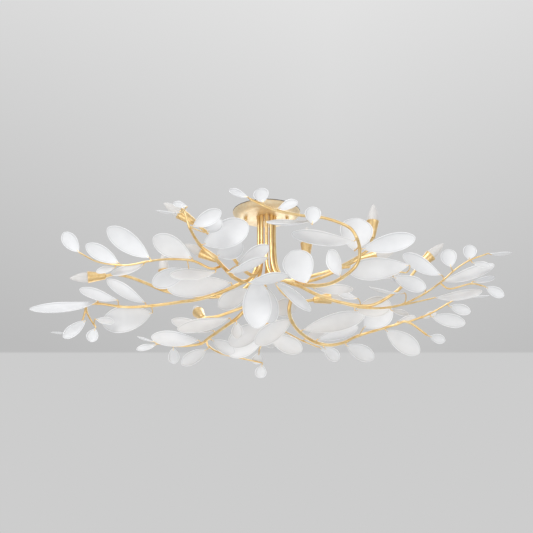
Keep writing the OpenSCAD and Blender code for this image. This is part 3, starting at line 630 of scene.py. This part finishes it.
def leaf_tree():
    """Lays a ringed sheet on each foot point and forms it: outline, dish both ways and a rolled rim."""
    tree, given, result = new_tree("Dished leaves", [
        *((label, "NodeSocketFloat") for label in LEAF_NUMBERS), ("Finish", "NodeSocketMaterial")])
    blank = add(tree, "GeometryNodeMeshGrid", {"Size X": 1.0, "Size Y": 1.0,
                                               "Vertices X": LEAF_SIDES + 1, "Vertices Y": LEAF_RINGS})
    blank = add(tree, "GeometryNodeStoreNamedAttribute", {
        "Geometry": blank, "Name": "turn_and_out", "Value": blank.outputs["UV Map"]},
        data_type="FLOAT_VECTOR", domain="POINT")
    feet = add(tree, "GeometryNodeMeshToPoints", {"Mesh": given["Source"]})
    sheets = add(tree, "GeometryNodeInstanceOnPoints", {"Points": feet, "Instance": blank})
    formed = add(tree, "GeometryNodeRealizeInstances", {"Geometry": sheets})
    known = {label: given[label] for label in LEAF_NUMBERS}
    for kind, names in (("FLOAT_VECTOR", ("turn_and_out", "place", "along", "across", "facing")),
                        ("FLOAT", ("leaf_length", "leaf_width"))):
        for name in names:
            known[name] = add(tree, "GeometryNodeInputNamedAttribute", {"Name": name}, data_type=kind)
    where = add(tree, "ShaderNodeSeparateXYZ", {0: known["turn_and_out"]})
    known["round"] = where.outputs[0]
    known["outward"] = where.outputs[1]
    work_out(tree, known, LEAF_STEPS)

    spot = known["place"]
    for direction, reach in (("along", "x"), ("across", "y"), ("facing", "z")):
        way = add(tree, "ShaderNodeVectorMath", {0: known[direction], "Scale": known[reach]},
                  operation="SCALE")
        spot = add(tree, "ShaderNodeVectorMath", {0: spot, 1: way}, operation="ADD")
    formed = add(tree, "GeometryNodeSetPosition", {"Geometry": formed, "Position": spot})
    formed = add(tree, "GeometryNodeStoreNamedAttribute", {
        "Geometry": formed, "Name": "rim", "Value": known["rim"]}, data_type="FLOAT", domain="POINT")
    chart = add(tree, "ShaderNodeCombineXYZ", {0: known["x_share"], 1: known["y_share"]})
    formed = add(tree, "GeometryNodeStoreNamedAttribute", {
        "Geometry": formed, "Name": "UVMap", "Value": chart}, data_type="FLOAT2", domain="CORNER")
    formed = add(tree, "GeometryNodeMergeByDistance", {"Geometry": formed, "Distance": 0.00002})
    formed = add(tree, "GeometryNodeSetShadeSmooth", {"Geometry": formed})
    finish_tree(tree, formed, given, result)
    return tree


# Finishes
def linear(code):
    """Linear colour of an sRGB hex value."""
    parts = [int(code[i:i + 2], 16) / 255 for i in (1, 3, 5)]
    return tuple(p / 12.92 if p <= 0.04045 else ((p + 0.055) / 1.055) ** 2.4 for p in parts)


def new_finish(name):
    """Empty material: its node tree, its surface shader and object coordinates."""
    material = bpy.data.materials.new(name)
    material.use_nodes = True
    tree = material.node_tree
    tree.nodes.clear()
    shader = add(tree, "ShaderNodeBsdfPrincipled")
    add(tree, "ShaderNodeOutputMaterial", {"Surface": shader})
    return material, tree, shader, add(tree, "ShaderNodeTexCoord").outputs["Object"]


def cloudy(tree, place, size_mm, detail, deep, light, span=(0, 1)):
    """Noise of a real size, and the two tones that it blends between the ends of its span."""
    noise = add(tree, "ShaderNodeTexNoise", {
        "Vector": place, "Scale": 1 / (size_mm * MM), "Detail": detail})
    tones = add(tree, "ShaderNodeValToRGB", {"Fac": noise})
    for end, at, code in zip(tones.color_ramp.elements, span, (deep, light)):
        end.position = at
        end.color = linear(code) + (1,)
    return noise, tones


def spread(tree, source, low, high):
    """Value from low to high over the middle of a noise."""
    return add(tree, "ShaderNodeMapRange", {0: source, 1: 0.3, 2: 0.7, 3: low, 4: high})


def gilded(name, light, deep, smooth, rough, mottle_mm, relief):
    """Gold leaf burnished over steel: warm metal with cloudy patches where it is thicker or rubbed."""
    material, tree, shader, place = new_finish(name)
    clouds, tones = cloudy(tree, place, mottle_mm, 4.0, deep, light, (0.34, 0.66))
    clouds.inputs["Roughness"].default_value = 0.6
    patches = add(tree, "ShaderNodeTexNoise", {
        "Vector": place, "Scale": 1 / (2.2 * mottle_mm * MM), "Detail": 3.0})
    bump = add(tree, "ShaderNodeBump", {"Height": clouds, "Strength": relief, "Distance": 0.0002})
    feed(tree, shader, {"Base Color": tones, "Roughness": spread(tree, patches, smooth, rough),
                        "Normal": bump, "Metallic": 1.0})
    return material


def powder_white(name, blade, shade, rim_highlight_code, fold_shade_code):
    """Baked matte white powder coat on steel: soft and even, with a glossier rolled rim painted whiter as
    a highlight, and painted shade in the fold just inside the rim.
    """
    material, tree, shader, place = new_finish(name)
    body = cloudy(tree, place, 45, 2.0, shade, blade, (0.35, 0.65))[1]
    rim = add(tree, "ShaderNodeAttribute", attribute_name="rim", attribute_type="GEOMETRY")
    # Painted highlight: the outer part of the rolled rim is painted whiter than the blade, and made
    # glossier
    edge = add(tree, "ShaderNodeMapRange", {0: rim.outputs["Fac"], 1: 0.35, 2: 0.7, 3: 0.0, 4: 1.0})
    # Painted shade: a grey line painted in the fold just inside the rim, where the bead shades it
    fold = add(tree, "ShaderNodeMapRange", {0: rim.outputs["Fac"], 1: 0.04, 2: 0.3, 3: 0.0, 4: 0.85})
    groove = add(tree, "ShaderNodeMix", {"Factor": fold}, data_type="RGBA")
    feed(tree, groove, {6: body, 7: linear(fold_shade_code) + (1,)})
    colour = add(tree, "ShaderNodeMix", {"Factor": edge}, data_type="RGBA")
    feed(tree, colour, {6: groove.outputs[2], 7: linear(rim_highlight_code) + (1,)})
    gloss = add(tree, "ShaderNodeMapRange", {0: edge, 1: 0.0, 2: 1.0, 3: 0.52, 4: 0.34})
    # The real coat's grain is 0.3 mm, too fine to show, so it is drawn at 1.2 mm
    grain = add(tree, "ShaderNodeTexNoise", {"Vector": place, "Scale": 1 / (1.2 * MM), "Detail": 2.0})
    bump = add(tree, "ShaderNodeBump", {"Height": grain, "Strength": 0.12, "Distance": 0.0001})
    feed(tree, shader, {"Base Color": colour.outputs[2], "Roughness": gloss, "Normal": bump})
    return material


def etched_glass(name, code):
    """Acid-etched glass: milky, with a soft sheen, and clear enough to show what is behind."""
    material, tree, shader, place = new_finish(name)
    cloud = add(tree, "ShaderNodeTexNoise", {"Vector": place, "Scale": 1 / (14 * MM), "Detail": 2.0})
    feed(tree, shader, {"Base Color": linear(code) + (1,), "Roughness": spread(tree, cloud, 0.32, 0.44),
                        "Alpha": 0.62, "IOR": 1.46})
    return material


def plain_metal(name, light, deep, rough):
    """Zinc or nickel plate on metal: cool and grey, with faint cloudy blotches from the bath."""
    material, tree, shader, place = new_finish(name)
    blotch, tones = cloudy(tree, place, 8, 3.0, deep, light)
    gloss = spread(tree, blotch, rough, rough + 0.12)
    feed(tree, shader, {"Base Color": tones, "Roughness": gloss, "Metallic": 1.0})
    return material


def moulded(name, light, deep, rough, grain_mm):
    """Moulded or foamed material: matte, with small pores that break up its tone."""
    material, tree, shader, place = new_finish(name)
    pores, tones = cloudy(tree, place, grain_mm, 3.0, deep, light)
    bump = add(tree, "ShaderNodeBump", {"Height": pores, "Strength": 0.3, "Distance": 0.0004})
    feed(tree, shader, {"Base Color": tones, "Roughness": rough, "Normal": bump})
    return material


def finish_named(name):
    """The finish of that name, made on first use."""
    known = bpy.data.materials.get(name)
    if known:
        return known
    look = bpy.context.scene.branch_light_finishes
    makers = {
        "Gilded steel rod": lambda: gilded(name, look.rod_light, look.rod_deep, 0.27, 0.33, 30, 0.0),
        "Gilded spun cup": lambda: gilded(name, look.cup_light, look.cup_deep, 0.32, 0.44, 9, 0.12),
        "Gilded canopy plate": lambda: gilded(name, look.canopy_light, look.canopy_deep,
                                              0.42, 0.58, 7, 0.25),
        # The leaf finish paints a highlight on the rim and shade in the fold inside it
        "Powder-coated white steel": lambda: powder_white(name, look.leaf_white, look.leaf_shade,
                                                          look.rim_highlight_white, look.rim_fold_shade),
        "Acid-etched glass": lambda: etched_glass(name, look.glass_tint),
        "Nickel-plated brass": lambda: plain_metal(name, "#E8E2D4", "#CFC8B8", 0.22),
        "Zinc-plated steel": lambda: plain_metal(name, "#D6DADD", "#B4B9BC", 0.3),
        "Moulded white socket": lambda: moulded(name, "#EDEBE4", "#E0DDD4", 0.5, 3),
        # Dark grey matte finish of the ring that shows as the dark line round the canopy's rim
        "Dark grey ring": lambda: moulded(name, "#4C4A48", "#2E2D2C", 0.9, 1.5),
        "Green painted screw": lambda: moulded(name, "#3F8F57", "#35794A", 0.38, 2),
    }
    return makers[name]()


# Sizes and colours that a user would change
def size(label, value, note="Diameter in mm"):
    return bpy.props.FloatProperty(name=label, description=note, default=value)


def tint(label, code, note):
    return bpy.props.StringProperty(name=label, description=note, default=code)


class BranchLightSizes(bpy.types.PropertyGroup):
    """Sizes of the light, in millimetres, or as shares of a leaf."""

    tube_d: size("Arm at the stem", 12)
    tube_end_d: size("Arm at the lamp", 9)
    rod_d: size("Branch at its arm", 8)
    rod_tip_d: size("Branch at its tip", 4.4)
    bough_d: size("Bough at its arm", 12)
    bough_tip_d: size("Bough at its tip", 7)
    side_rod_d: size("Side branch", 5.6)
    twig_d: size("Twig at its rod", 4)
    twig_tip_d: size("Twig at its leaf", 2.8)
    collar: size("Collar", 0.55, "Added to the radius in mm")
    leaf_t: size("Leaf sheet", 1.5, "Thickness in mm")
    leaf_bend: size("Bend along", 1.4, "Radius, share of length")
    leaf_cup: size("Bend across", 0.75, "Radius, share of width")
    leaf_belly: size("Deepest place", 0.54, "Share of length")
    foot_draw: size("Foot draw", 0.86, "How far the foot is drawn in")
    tip_draw: size("Tip draw", 0.6, "How far the tip is drawn in")
    rim_height: size("Rim height", 1.5, "Height of the bead in mm")
    rim_width: size("Rim width", 5, "Width of the bead in mm")
    cup_mouth_d: size("Cup mouth", 38)
    cup_base_d: size("Cup base", 20)
    cup_l: size("Cup length", 56, "Length in mm")
    bulb_d: size("Bulb", 33, "Greatest diameter in mm")
    canopy_d: size("Canopy", 215)
    canopy_flat_d: size("Canopy face", 156)


class BranchLightFinishes(bpy.types.PropertyGroup):
    """Colours of the light, as sRGB hex values."""

    rod_light: tint("Rod, bright", "#FFE4AE", "Gold where rubbed")
    rod_deep: tint("Rod, deep", "#F0C987", "Gold in the patches")
    cup_light: tint("Cup, bright", "#FBDDA6", "Gold where rubbed")
    cup_deep: tint("Cup, deep", "#EFCB8E", "Gold in the patches")
    canopy_light: tint("Canopy, bright", "#FFF0D2", "Gold, rubbed")
    canopy_deep: tint("Canopy, deep", "#F9E3BE", "Gold in the patches")
    leaf_white: tint("Leaf", "#F1F2F4", "White of the leaves")
    leaf_shade: tint("Leaf, drift", "#ECEDEF", "White where thinner")
    # Painted highlight on the leaf rim, and painted shade in the fold inside it
    rim_highlight_white: tint("Leaf rim, painted highlight", "#FAFBFD", "Painted highlight on the rolled rim")
    rim_fold_shade: tint("Rim fold, painted shade", "#D6D7D9", "Painted shade inside the rim")
    glass_tint: tint("Glass", "#F6F4F2", "Tint of the bulbs")
    # Painted light on the wall behind: bright at the top middle, falling off to the dim tone at the sides
    wall_painted_light: tint("Wall, painted light", "#E2E2E2", "Painted pool of light behind, top middle")
    wall_painted_falloff: tint("Wall, painted falloff", "#BCBCBC", "Painted falloff behind, at the sides")
    wall_low: tint("Wall, low", "#CDCDCD", "Below the line behind")
    floor: tint("Floor", "#D2D2D0", "Plain pale floor")


class BRANCHLIGHT_OT_lamp_arms(bpy.types.Operator):
    """Ten gilded tubes, each from its stem through the canopy to its lamp"""

    bl_idname = "branch_light.lamp_arms"
    bl_label = "Lamp arms"

    def execute(self, context):
        sizes = context.scene.branch_light_sizes
        tree = rod_tree()
        for k in LAMPS:
            walk = Walk(arm_points(k), PATH_STEP)
            places = [place for (arm, place), *rest in SPRIGS if arm == k]
            joints = [collar_at(walk.distance(place), SPRIG_COLLAR) for place in places]
            joints.append(collar_at(walk.length, LAMP_COLLAR))
            radii = rod_radii(walk, sizes.tube_d, sizes.tube_end_d, joints, sizes.collar, rounded=False)
            source = paths_mesh("arm path", [(walk.points, radii)])
            arm = made("arm_tube_%d" % k, source, tree, {
                "Sides": ARM_SIDES, "Finish": finish_named("Gilded steel rod")})
            hand_over(arm, FIXTURE, "lamp_arm_%d" % k)
        return {"FINISHED"}


class BRANCHLIGHT_OT_branches(bpy.types.Operator):
    """Ten leaf branches: main rod, side rods and a bent twig to every leaf"""

    bl_idname = "branch_light.branches"
    bl_label = "Branches and twigs"

    def execute(self, context):
        sizes = context.scene.branch_light_sizes
        tree = rod_tree()
        for k in LAMPS:
            side_rods, leaves = SPRIGS[k - 1][2], SPRIGS[k - 1][3]
            paths = []
            for rod in range(len(side_rods) + 1):
                walk = Walk(rod_points(k, rod), PATH_STEP)
                places = [row[1] for row in leaves if row[0] == rod]
                if rod == 0:
                    places += [row[0] for row in side_rods]
                joints = [collar_at(walk.distance(place), TWIG_COLLAR) for place in places]
                start_d, tip_d = rod_sizes(k, rod, sizes)
                paths.append((walk.points, rod_radii(walk, start_d, tip_d, joints, sizes.collar)))
            for row in leaves:
                walk = twig_walk(k, row, sizes)
                paths.append((walk.points, rod_radii(walk, sizes.twig_d, sizes.twig_tip_d, [], 0)))
            branch = made("branch_rods_%d" % k, paths_mesh("branch path", paths), tree, {
                "Sides": BRANCH_SIDES, "Finish": finish_named("Gilded steel rod")})
            hand_over(branch, FIXTURE, "sprig_%d" % k)
        return {"FINISHED"}


class BRANCHLIGHT_OT_leaves(bpy.types.Operator):
    """Ninety-one white leaves in ten sets, each dished both ways with a rolled rim"""

    bl_idname = "branch_light.leaves"
    bl_label = "Leaves"

    def execute(self, context):
        sizes = context.scene.branch_light_sizes
        tree = leaf_tree()
        for k in LAMPS:
            rows = []
            for row in SPRIGS[k - 1][3]:
                along, across, facing = leaf_frame(row)
                foot = leaf_foot(k, row) + facing * (sizes.leaf_t / 2 - LEAF_SINK)
                length = np.linalg.norm(row[3]) * LEAF_EASE * MM
                rows.append({"place": foot, "along": along, "across": across, "facing": facing,
                             "leaf_length": length, "leaf_width": row[4] * MM})
            source = points_mesh("leaf feet", rows)
            values = source.data.attributes["place"].data
            values.foreach_set("vector", np.array([row["place"] * MM for row in rows]).ravel())
            leaves = made("leaf_set_%d" % k, source, tree, {
                "Bend along": sizes.leaf_bend, "Bend across": sizes.leaf_cup, "Belly": sizes.leaf_belly,
                "Foot draw": sizes.foot_draw, "Tip draw": sizes.tip_draw,
                "Rim height": sizes.rim_height * MM, "Rim width": sizes.rim_width * MM,
                "Finish": finish_named("Powder-coated white steel")})
            sheet = leaves.modifiers.new("Sheet", "SOLIDIFY")
            sheet.thickness = sizes.leaf_t * MM
            sheet.offset = 0
            soften = leaves.modifiers.new("Soften", "SUBSURF")
            soften.levels = 1
            soften.render_levels = 1
            hand_over(leaves, FIXTURE, "leaves_%d" % k)
        return {"FINISHED"}


def cup_section(sizes):
    """Wall of a spun cup: rounded foot, straight taper and a turned-out lip, then back down inside."""
    foot, mouth, top = sizes.cup_base_d / 2, sizes.cup_mouth_d / 2, sizes.cup_l
    rows = [(0, 0), (5.6, 0), (foot - 1.6, 0.4), (foot - 0.5, 1.3), (foot + 0.1, 2.8)]
    for share in (0.12, 0.3, 0.5, 0.7, 0.86, 0.95):
        rows.append((foot + (mouth - 0.4 - foot) * share, top * share))
    rows += [(mouth - 0.3, top - 1.6), (mouth, top - 0.9), (mouth - 0.2, top - 0.2), (mouth - 0.8, top),
             (mouth - 1.5, top - 0.3), (mouth - 1.8, top - 1.2)]
    for share in (0.9, 0.6, 0.3, 0.1):
        rows.append((foot - 1.4 + (mouth - 0.4 - foot) * share, top * share))
    return rows + [(foot - 2.4, 2.2), (foot - 4, 1.3), (0, 1.2)]


class BRANCHLIGHT_OT_lamp_cups(bpy.types.Operator):
    """Ten gilded cups, one at the end of each arm"""

    bl_idname = "branch_light.lamp_cups"
    bl_label = "Lamp cups"

    def execute(self, context):
        sizes = context.scene.branch_light_sizes
        tree = lamp_tree()
        blank = turned("cup blank", cup_section(sizes), 56)
        for k in LAMPS:
            source = points_mesh("cup place", [{"place": lamp_foot(k), "aim": lamp_axis(k)}])
            cup = made("gilded_cup_%d" % k, source, tree, {
                "Piece": blank, "Finish": finish_named("Gilded spun cup")})
            hand_over(cup, FIXTURE, "lamp_cup_%d" % k)
        bpy.data.objects.remove(blank)
        return {"FINISHED"}


def glass_section(sizes, inset):
    """Half section of the blown glass, inset by its wall for the inner skin."""
    rows = [np.array([0, 0.3])] + [np.array(row, dtype=float) for row in GLASS]
    section = [(0, GLASS_FROM + inset)]
    for place in np.linspace(1, len(rows) - 1, 34):
        share, wide = on_curve(rows, min(place, len(rows) - 1.0001))
        height = GLASS_FROM + inset + share * (GLASS_LENGTH - 2 * inset)
        section.append((max(wide * (sizes.bulb_d / 2 - inset), 0), height))
    section[-1] = (0, section[-1][1])
    return section


def cap_section():
    """Half section of the screw cap: a rounded end, three turns of thread and a plain skirt."""
    rows = [(0, BASE_FROM), (2.2, BASE_FROM), (2.8, BASE_FROM + 1), (4.6, BASE_FROM + 2.4)]
    for step in range(31):
        height = BASE_FROM + 3 + step * 0.5
        rows.append((5.45 + 0.4 * math.cos(math.tau * step / 5), height))
    top = GLASS_FROM + 0.6
    return rows + [(5.6, 24.6), (5.85, 25.2), (5.85, GLASS_FROM), (5.2, top), (0, top)]


class BRANCHLIGHT_OT_bulbs(bpy.types.Operator):
    """Ten flame-shaped bulbs: etched glass on a threaded cap, each moving with its own bulb"""

    bl_idname = "branch_light.bulbs"
    bl_label = "Bulbs"

    def execute(self, context):
        sizes = context.scene.branch_light_sizes
        tree = lamp_tree()
        glass = turned("glass blank", glass_section(sizes, 0), 40)
        cap = turned("cap blank", cap_section(), 32)
        for k in LAMPS:
            body = "bulb_%d" % k
            row = [{"place": lamp_foot(k), "aim": lamp_axis(k)}]
            for name, blank, finish, slot, node in (
                    ("bulb_glass_%d", glass, "Acid-etched glass", "frosted_glass", body),
                    ("bulb_cap_%d", cap, "Nickel-plated brass", "zinc_steel", None)):
                piece = made(name % k, points_mesh("bulb place", row), tree, {
                    "Piece": blank, "Finish": finish_named(finish)})
                hand_over(piece, body, node)
        bpy.data.objects.remove(glass)
        bpy.data.objects.remove(cap)
        return {"FINISHED"}


def canopy_section(sizes):
    """Spun pan: pressed face, rounded shoulder, beaded rim and the wall back inside."""
    flat, run, depth = sizes.canopy_flat_d / 2, (sizes.canopy_d - sizes.canopy_flat_d) / 2, RIM_Z - FACE_Z
    bend = (run * run + depth * depth) / (2 * depth)
    whole = math.asin(run / bend)
    pressed = FACE_Z + 0.35
    rows = [(0, FACE_Z), (12, FACE_Z), (flat * 0.5, FACE_Z), (flat - 3.2, FACE_Z),
            (flat - 2.4, pressed), (flat - 1.6, pressed), (flat - 0.8, FACE_Z)]
    for step in range(19):
        turn = whole * 0.955 * step / 18
        rows.append((flat + bend * math.sin(turn), FACE_Z + bend - bend * math.cos(turn)))
    edge = sizes.canopy_d / 2
    rows += [(edge - 0.5, RIM_Z - 1.6), (edge, RIM_Z - 1), (edge - 0.1, RIM_Z - 0.2), (edge - 0.8, RIM_Z),
             (edge - 1.6, RIM_Z - 0.1), (edge - 2.2, RIM_Z - 0.8)]
    for step in range(12, -1, -1):
        turn = whole * 0.93 * step / 12
        inner = bend - 1.2
        rows.append((flat + inner * math.sin(turn), FACE_Z + bend - inner * math.cos(turn)))
    return rows + [(flat * 0.5, FACE_Z + 1.2), (0, FACE_Z + 1.2)]


NUT_SECTION = [(2.3, 0), (4.7, 0), (5, -0.4), (5, -1.4), (4.6, -1.8), (4.6, -2.2), (5, -2.6), (5, -5.6),
               (4.8, -7), (4.2, -8.4), (3.3, -9.6), (2.1, -10.5), (0.9, -10.9), (0, -11)]
GROMMET_SECTION = [(6.1, 0), (7.6, 0), (7.9, -0.4), (7.7, -1), (6.9, -1.4), (6.1, -1.2)]


class BRANCHLIGHT_OT_canopy(bpy.types.Operator):
    """Spun gilded canopy with a grommet round each stem, and the two cap nuts that hold it"""

    bl_idname = "branch_light.canopy"
    bl_label = "Canopy and cap nuts"

    def execute(self, context):
        sizes = context.scene.branch_light_sizes
        pan = turned("canopy_pan", canopy_section(sizes), 144)
        pan.data.materials.append(finish_named("Gilded canopy plate"))
        hand_over(pan, FIXTURE, "canopy")
        tree = lamp_tree()
        grommet = turned("grommet blank", GROMMET_SECTION + GROMMET_SECTION[:1], 32)
        rows = [{"place": np.array([*stem_foot(k), FACE_Z]), "aim": np.array(UP)} for k in LAMPS]
        rings = made("stem_grommets", points_mesh("grommet places", rows), tree, {
            "Piece": grommet, "Finish": finish_named("Gilded spun cup")})
        hand_over(rings, FIXTURE)
        nut = turned("nut blank", NUT_SECTION, 40)
        for body, x in (("nut_left", -NUT_X), ("nut_right", NUT_X)):
            row = [{"place": np.array([x, 0, NUT_Z]), "aim": np.array(UP)}]
            piece = made("cap_" + body, points_mesh("nut place", row), tree, {
                "Piece": nut, "Finish": finish_named("Gilded spun cup")})
            hand_over(piece, body, "canopy_" + body)
        bpy.data.objects.remove(grommet)
        bpy.data.objects.remove(nut)
        return {"FINISHED"}


class BRANCHLIGHT_OT_hardware(bpy.types.Operator):
    """Finishes for the solid model's own crossbar, studs, screw, plate, dark grey ring and sockets"""

    bl_idname = "branch_light.hardware"
    bl_label = "Hardware finishes"

    def execute(self, context):
        finishes = {
            "canopy_gasket": "Dark grey ring", "ceiling_bracket": "Zinc-plated steel",
            "bracket_studs": "Zinc-plated steel", "ground_screw": "Green painted screw",
            "stem_plate": "Zinc-plated steel", "lamp_sockets": "Moulded white socket",
        }
        for node, finish in finishes.items():
            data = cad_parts[node].data
            if not data.materials:
                data.materials.append(None)
            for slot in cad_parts[node].material_slots:
                slot.material = finish_named(finish)
        return {"FINISHED"}


# Camera of the photograph, which looks up from below the light: metres and millimetres of lens
CAMERA_AT = (0.0, -4.121, -1.727)
CAMERA_TO = (0.0, 0.0, -0.186)
LENS = 94.3
FLOOR_Z = -2.4

# Wall behind, as height over distance: the height of its painted pool of light, its line, and the pool's
# place sideways
WALL_TOP = 0.6
WALL_LINE = 0.3053
WALL_MIDDLE = 0.05
WALL_ASIDE = 0.35
WALL_FADE = 0.37
WALL_SOFT = 0.0008

# Steps to the wall's tone: which rays see it, how high and how far aside they look, and its two mixes:
# painted light that falls off away from the pool, and the line
WALL_STEPS = (
    ("direct", "MAXIMUM", "camera", "glossy"),
    ("direct", "MAXIMUM", "direct", "through"),
    ("wide", "ABSOLUTE", "x"),
    ("deep", "ABSOLUTE", "y"),
    ("wall_at", "MAXIMUM", "wide", "deep"),
    ("height", "DIVIDE", "z", "wall_at"),
    ("aside", "DIVIDE", "x", "wall_at"),
    ("aside", "SUBTRACT", "aside", WALL_MIDDLE),
    ("aside", "ABSOLUTE", "aside"),
    ("below", "SUBTRACT", WALL_TOP, "height"),
    ("away", "MULTIPLY_ADD", "aside", WALL_ASIDE, "below"),
    ("light_falloff", "MAP", "away", 0.0, WALL_FADE, 0.0, 1.0),
    ("upper", "MAP", "height", WALL_LINE - WALL_SOFT, WALL_LINE + WALL_SOFT),
)

# Even light of the surround, as seen by the light itself
GLOW = 0.58

# Softboxes: place, aim point, side in metres, watts
SOFTBOXES = [
    ((-1.6, -2.4, 2.0), (0, 0, -0.25), 1.8, 50),
    ((2.0, -3.0, -1.3), (0, 0, -0.25), 2.6, 26),
    ((-1.0, -1.2, -2.2), (0, 0, -0.2), 2.0, 20),
    ((0.6, 2.6, 1.6), (0, 0, -0.25), 2.2, 34),
    ((0.2, 3.0, -1.9), (0, 0, -0.1), 1.8, 18),
]


class BRANCHLIGHT_OT_studio(bpy.types.Operator):
    """Pale floor, pale surround with painted light on the wall behind, five softboxes and the
    photograph's camera
    """

    bl_idname = "branch_light.studio"
    bl_label = "Studio"

    def execute(self, context):
        look = context.scene.branch_light_finishes
        mesh = bpy.data.meshes.new("studio_floor")
        half = 5.0
        mesh.from_pydata([(-half, -half, FLOOR_Z), (half, -half, FLOOR_Z), (half, half, FLOOR_Z),
                          (-half, half, FLOOR_Z)], [], [(0, 1, 2, 3)])
        floor = linked("studio_floor", mesh)
        floor.data.materials.append(moulded("Plain pale floor", look.floor, look.floor, 0.8, 60))

        for place, towards, side, watts in SOFTBOXES:
            light = bpy.data.lights.new("softbox", "AREA")
            light.size = side
            light.energy = watts
            box = bpy.data.objects.new("softbox", light)
            box.location = place
            box.rotation_mode = "QUATERNION"
            box.rotation_quaternion = (Vector(towards) - Vector(place)).to_track_quat("-Z", "Y")
            box.visible_camera = False
            context.scene.collection.objects.link(box)

        world = bpy.data.worlds.new("Pale surround")
        world.use_nodes = True
        tree = world.node_tree
        tree.nodes.clear()
        seen = add(tree, "ShaderNodeLightPath").outputs
        gaze = add(tree, "ShaderNodeTexCoord").outputs["Generated"]
        parts = add(tree, "ShaderNodeSeparateXYZ", {0: gaze}).outputs
        known = {"camera": seen["Is Camera Ray"], "glossy": seen["Is Glossy Ray"],
                 "through": seen["Is Transmission Ray"], "x": parts[0], "y": parts[1], "z": parts[2]}
        work_out(tree, known, WALL_STEPS)
        # Painted light: the wall is brightest at the pool and falls off to the dim tone to the sides and
        # below
        wall = add(tree, "ShaderNodeMix", {"Factor": known["light_falloff"]}, data_type="RGBA")
        feed(tree, wall, {6: linear(look.wall_painted_light) + (1,), 7: linear(look.wall_painted_falloff) + (1,)})
        behind = add(tree, "ShaderNodeMix", {"Factor": known["upper"]}, data_type="RGBA")
        feed(tree, behind, {6: linear(look.wall_low) + (1,), 7: wall.outputs[2]})
        shown = add(tree, "ShaderNodeBackground", {"Color": behind.outputs[2], "Strength": 1.0})
        glow = add(tree, "ShaderNodeBackground", {"Color": (1, 1, 1, 1), "Strength": GLOW})
        both = add(tree, "ShaderNodeMixShader", {0: known["direct"], 1: glow, 2: shown})
        add(tree, "ShaderNodeOutputWorld", {"Surface": both})
        context.scene.world = world

        camera = bpy.data.cameras.new("camera")
        camera.sensor_width = 36
        camera.lens = LENS
        view = bpy.data.objects.new("camera", camera)
        view.location = CAMERA_AT
        view.rotation_mode = "QUATERNION"
        view.rotation_quaternion = (Vector(CAMERA_TO) - Vector(CAMERA_AT)).to_track_quat("-Z", "Y")
        context.scene.collection.objects.link(view)
        context.scene.camera = view
        context.scene.view_settings.view_transform = "Standard"
        return {"FINISHED"}


STEPS = [
    BRANCHLIGHT_OT_lamp_arms, BRANCHLIGHT_OT_branches, BRANCHLIGHT_OT_leaves, BRANCHLIGHT_OT_lamp_cups,
    BRANCHLIGHT_OT_bulbs, BRANCHLIGHT_OT_canopy, BRANCHLIGHT_OT_hardware, BRANCHLIGHT_OT_studio,
]


class BRANCHLIGHT_PT_panel(bpy.types.Panel):
    """Sizes, colours and making steps of the light"""

    bl_idname = "BRANCHLIGHT_PT_panel"
    bl_label = "Branch ceiling light"
    bl_space_type = "VIEW_3D"
    bl_region_type = "UI"
    bl_category = "Branch light"

    def draw(self, context):
        for group in (context.scene.branch_light_sizes, context.scene.branch_light_finishes):
            column = self.layout.column()
            for name in group.__annotations__:
                column.prop(group, name)
        for step in STEPS:
            self.layout.operator(step.bl_idname)


CLASSES = [BranchLightSizes, BranchLightFinishes, *STEPS, BRANCHLIGHT_PT_panel]


def register():
    for cls in CLASSES:
        bpy.utils.register_class(cls)
    bpy.types.Scene.branch_light_sizes = bpy.props.PointerProperty(type=BranchLightSizes)
    bpy.types.Scene.branch_light_finishes = bpy.props.PointerProperty(type=BranchLightFinishes)


def unregister():
    del bpy.types.Scene.branch_light_finishes
    del bpy.types.Scene.branch_light_sizes
    for cls in reversed(CLASSES):
        bpy.utils.unregister_class(cls)


def main():
    register()
    bpy.ops.branch_light.lamp_arms()
    bpy.ops.branch_light.branches()
    bpy.ops.branch_light.leaves()
    bpy.ops.branch_light.lamp_cups()
    bpy.ops.branch_light.bulbs()
    bpy.ops.branch_light.canopy()
    bpy.ops.branch_light.hardware()
    bpy.ops.branch_light.studio()


if __name__ == "__main__":
    main()
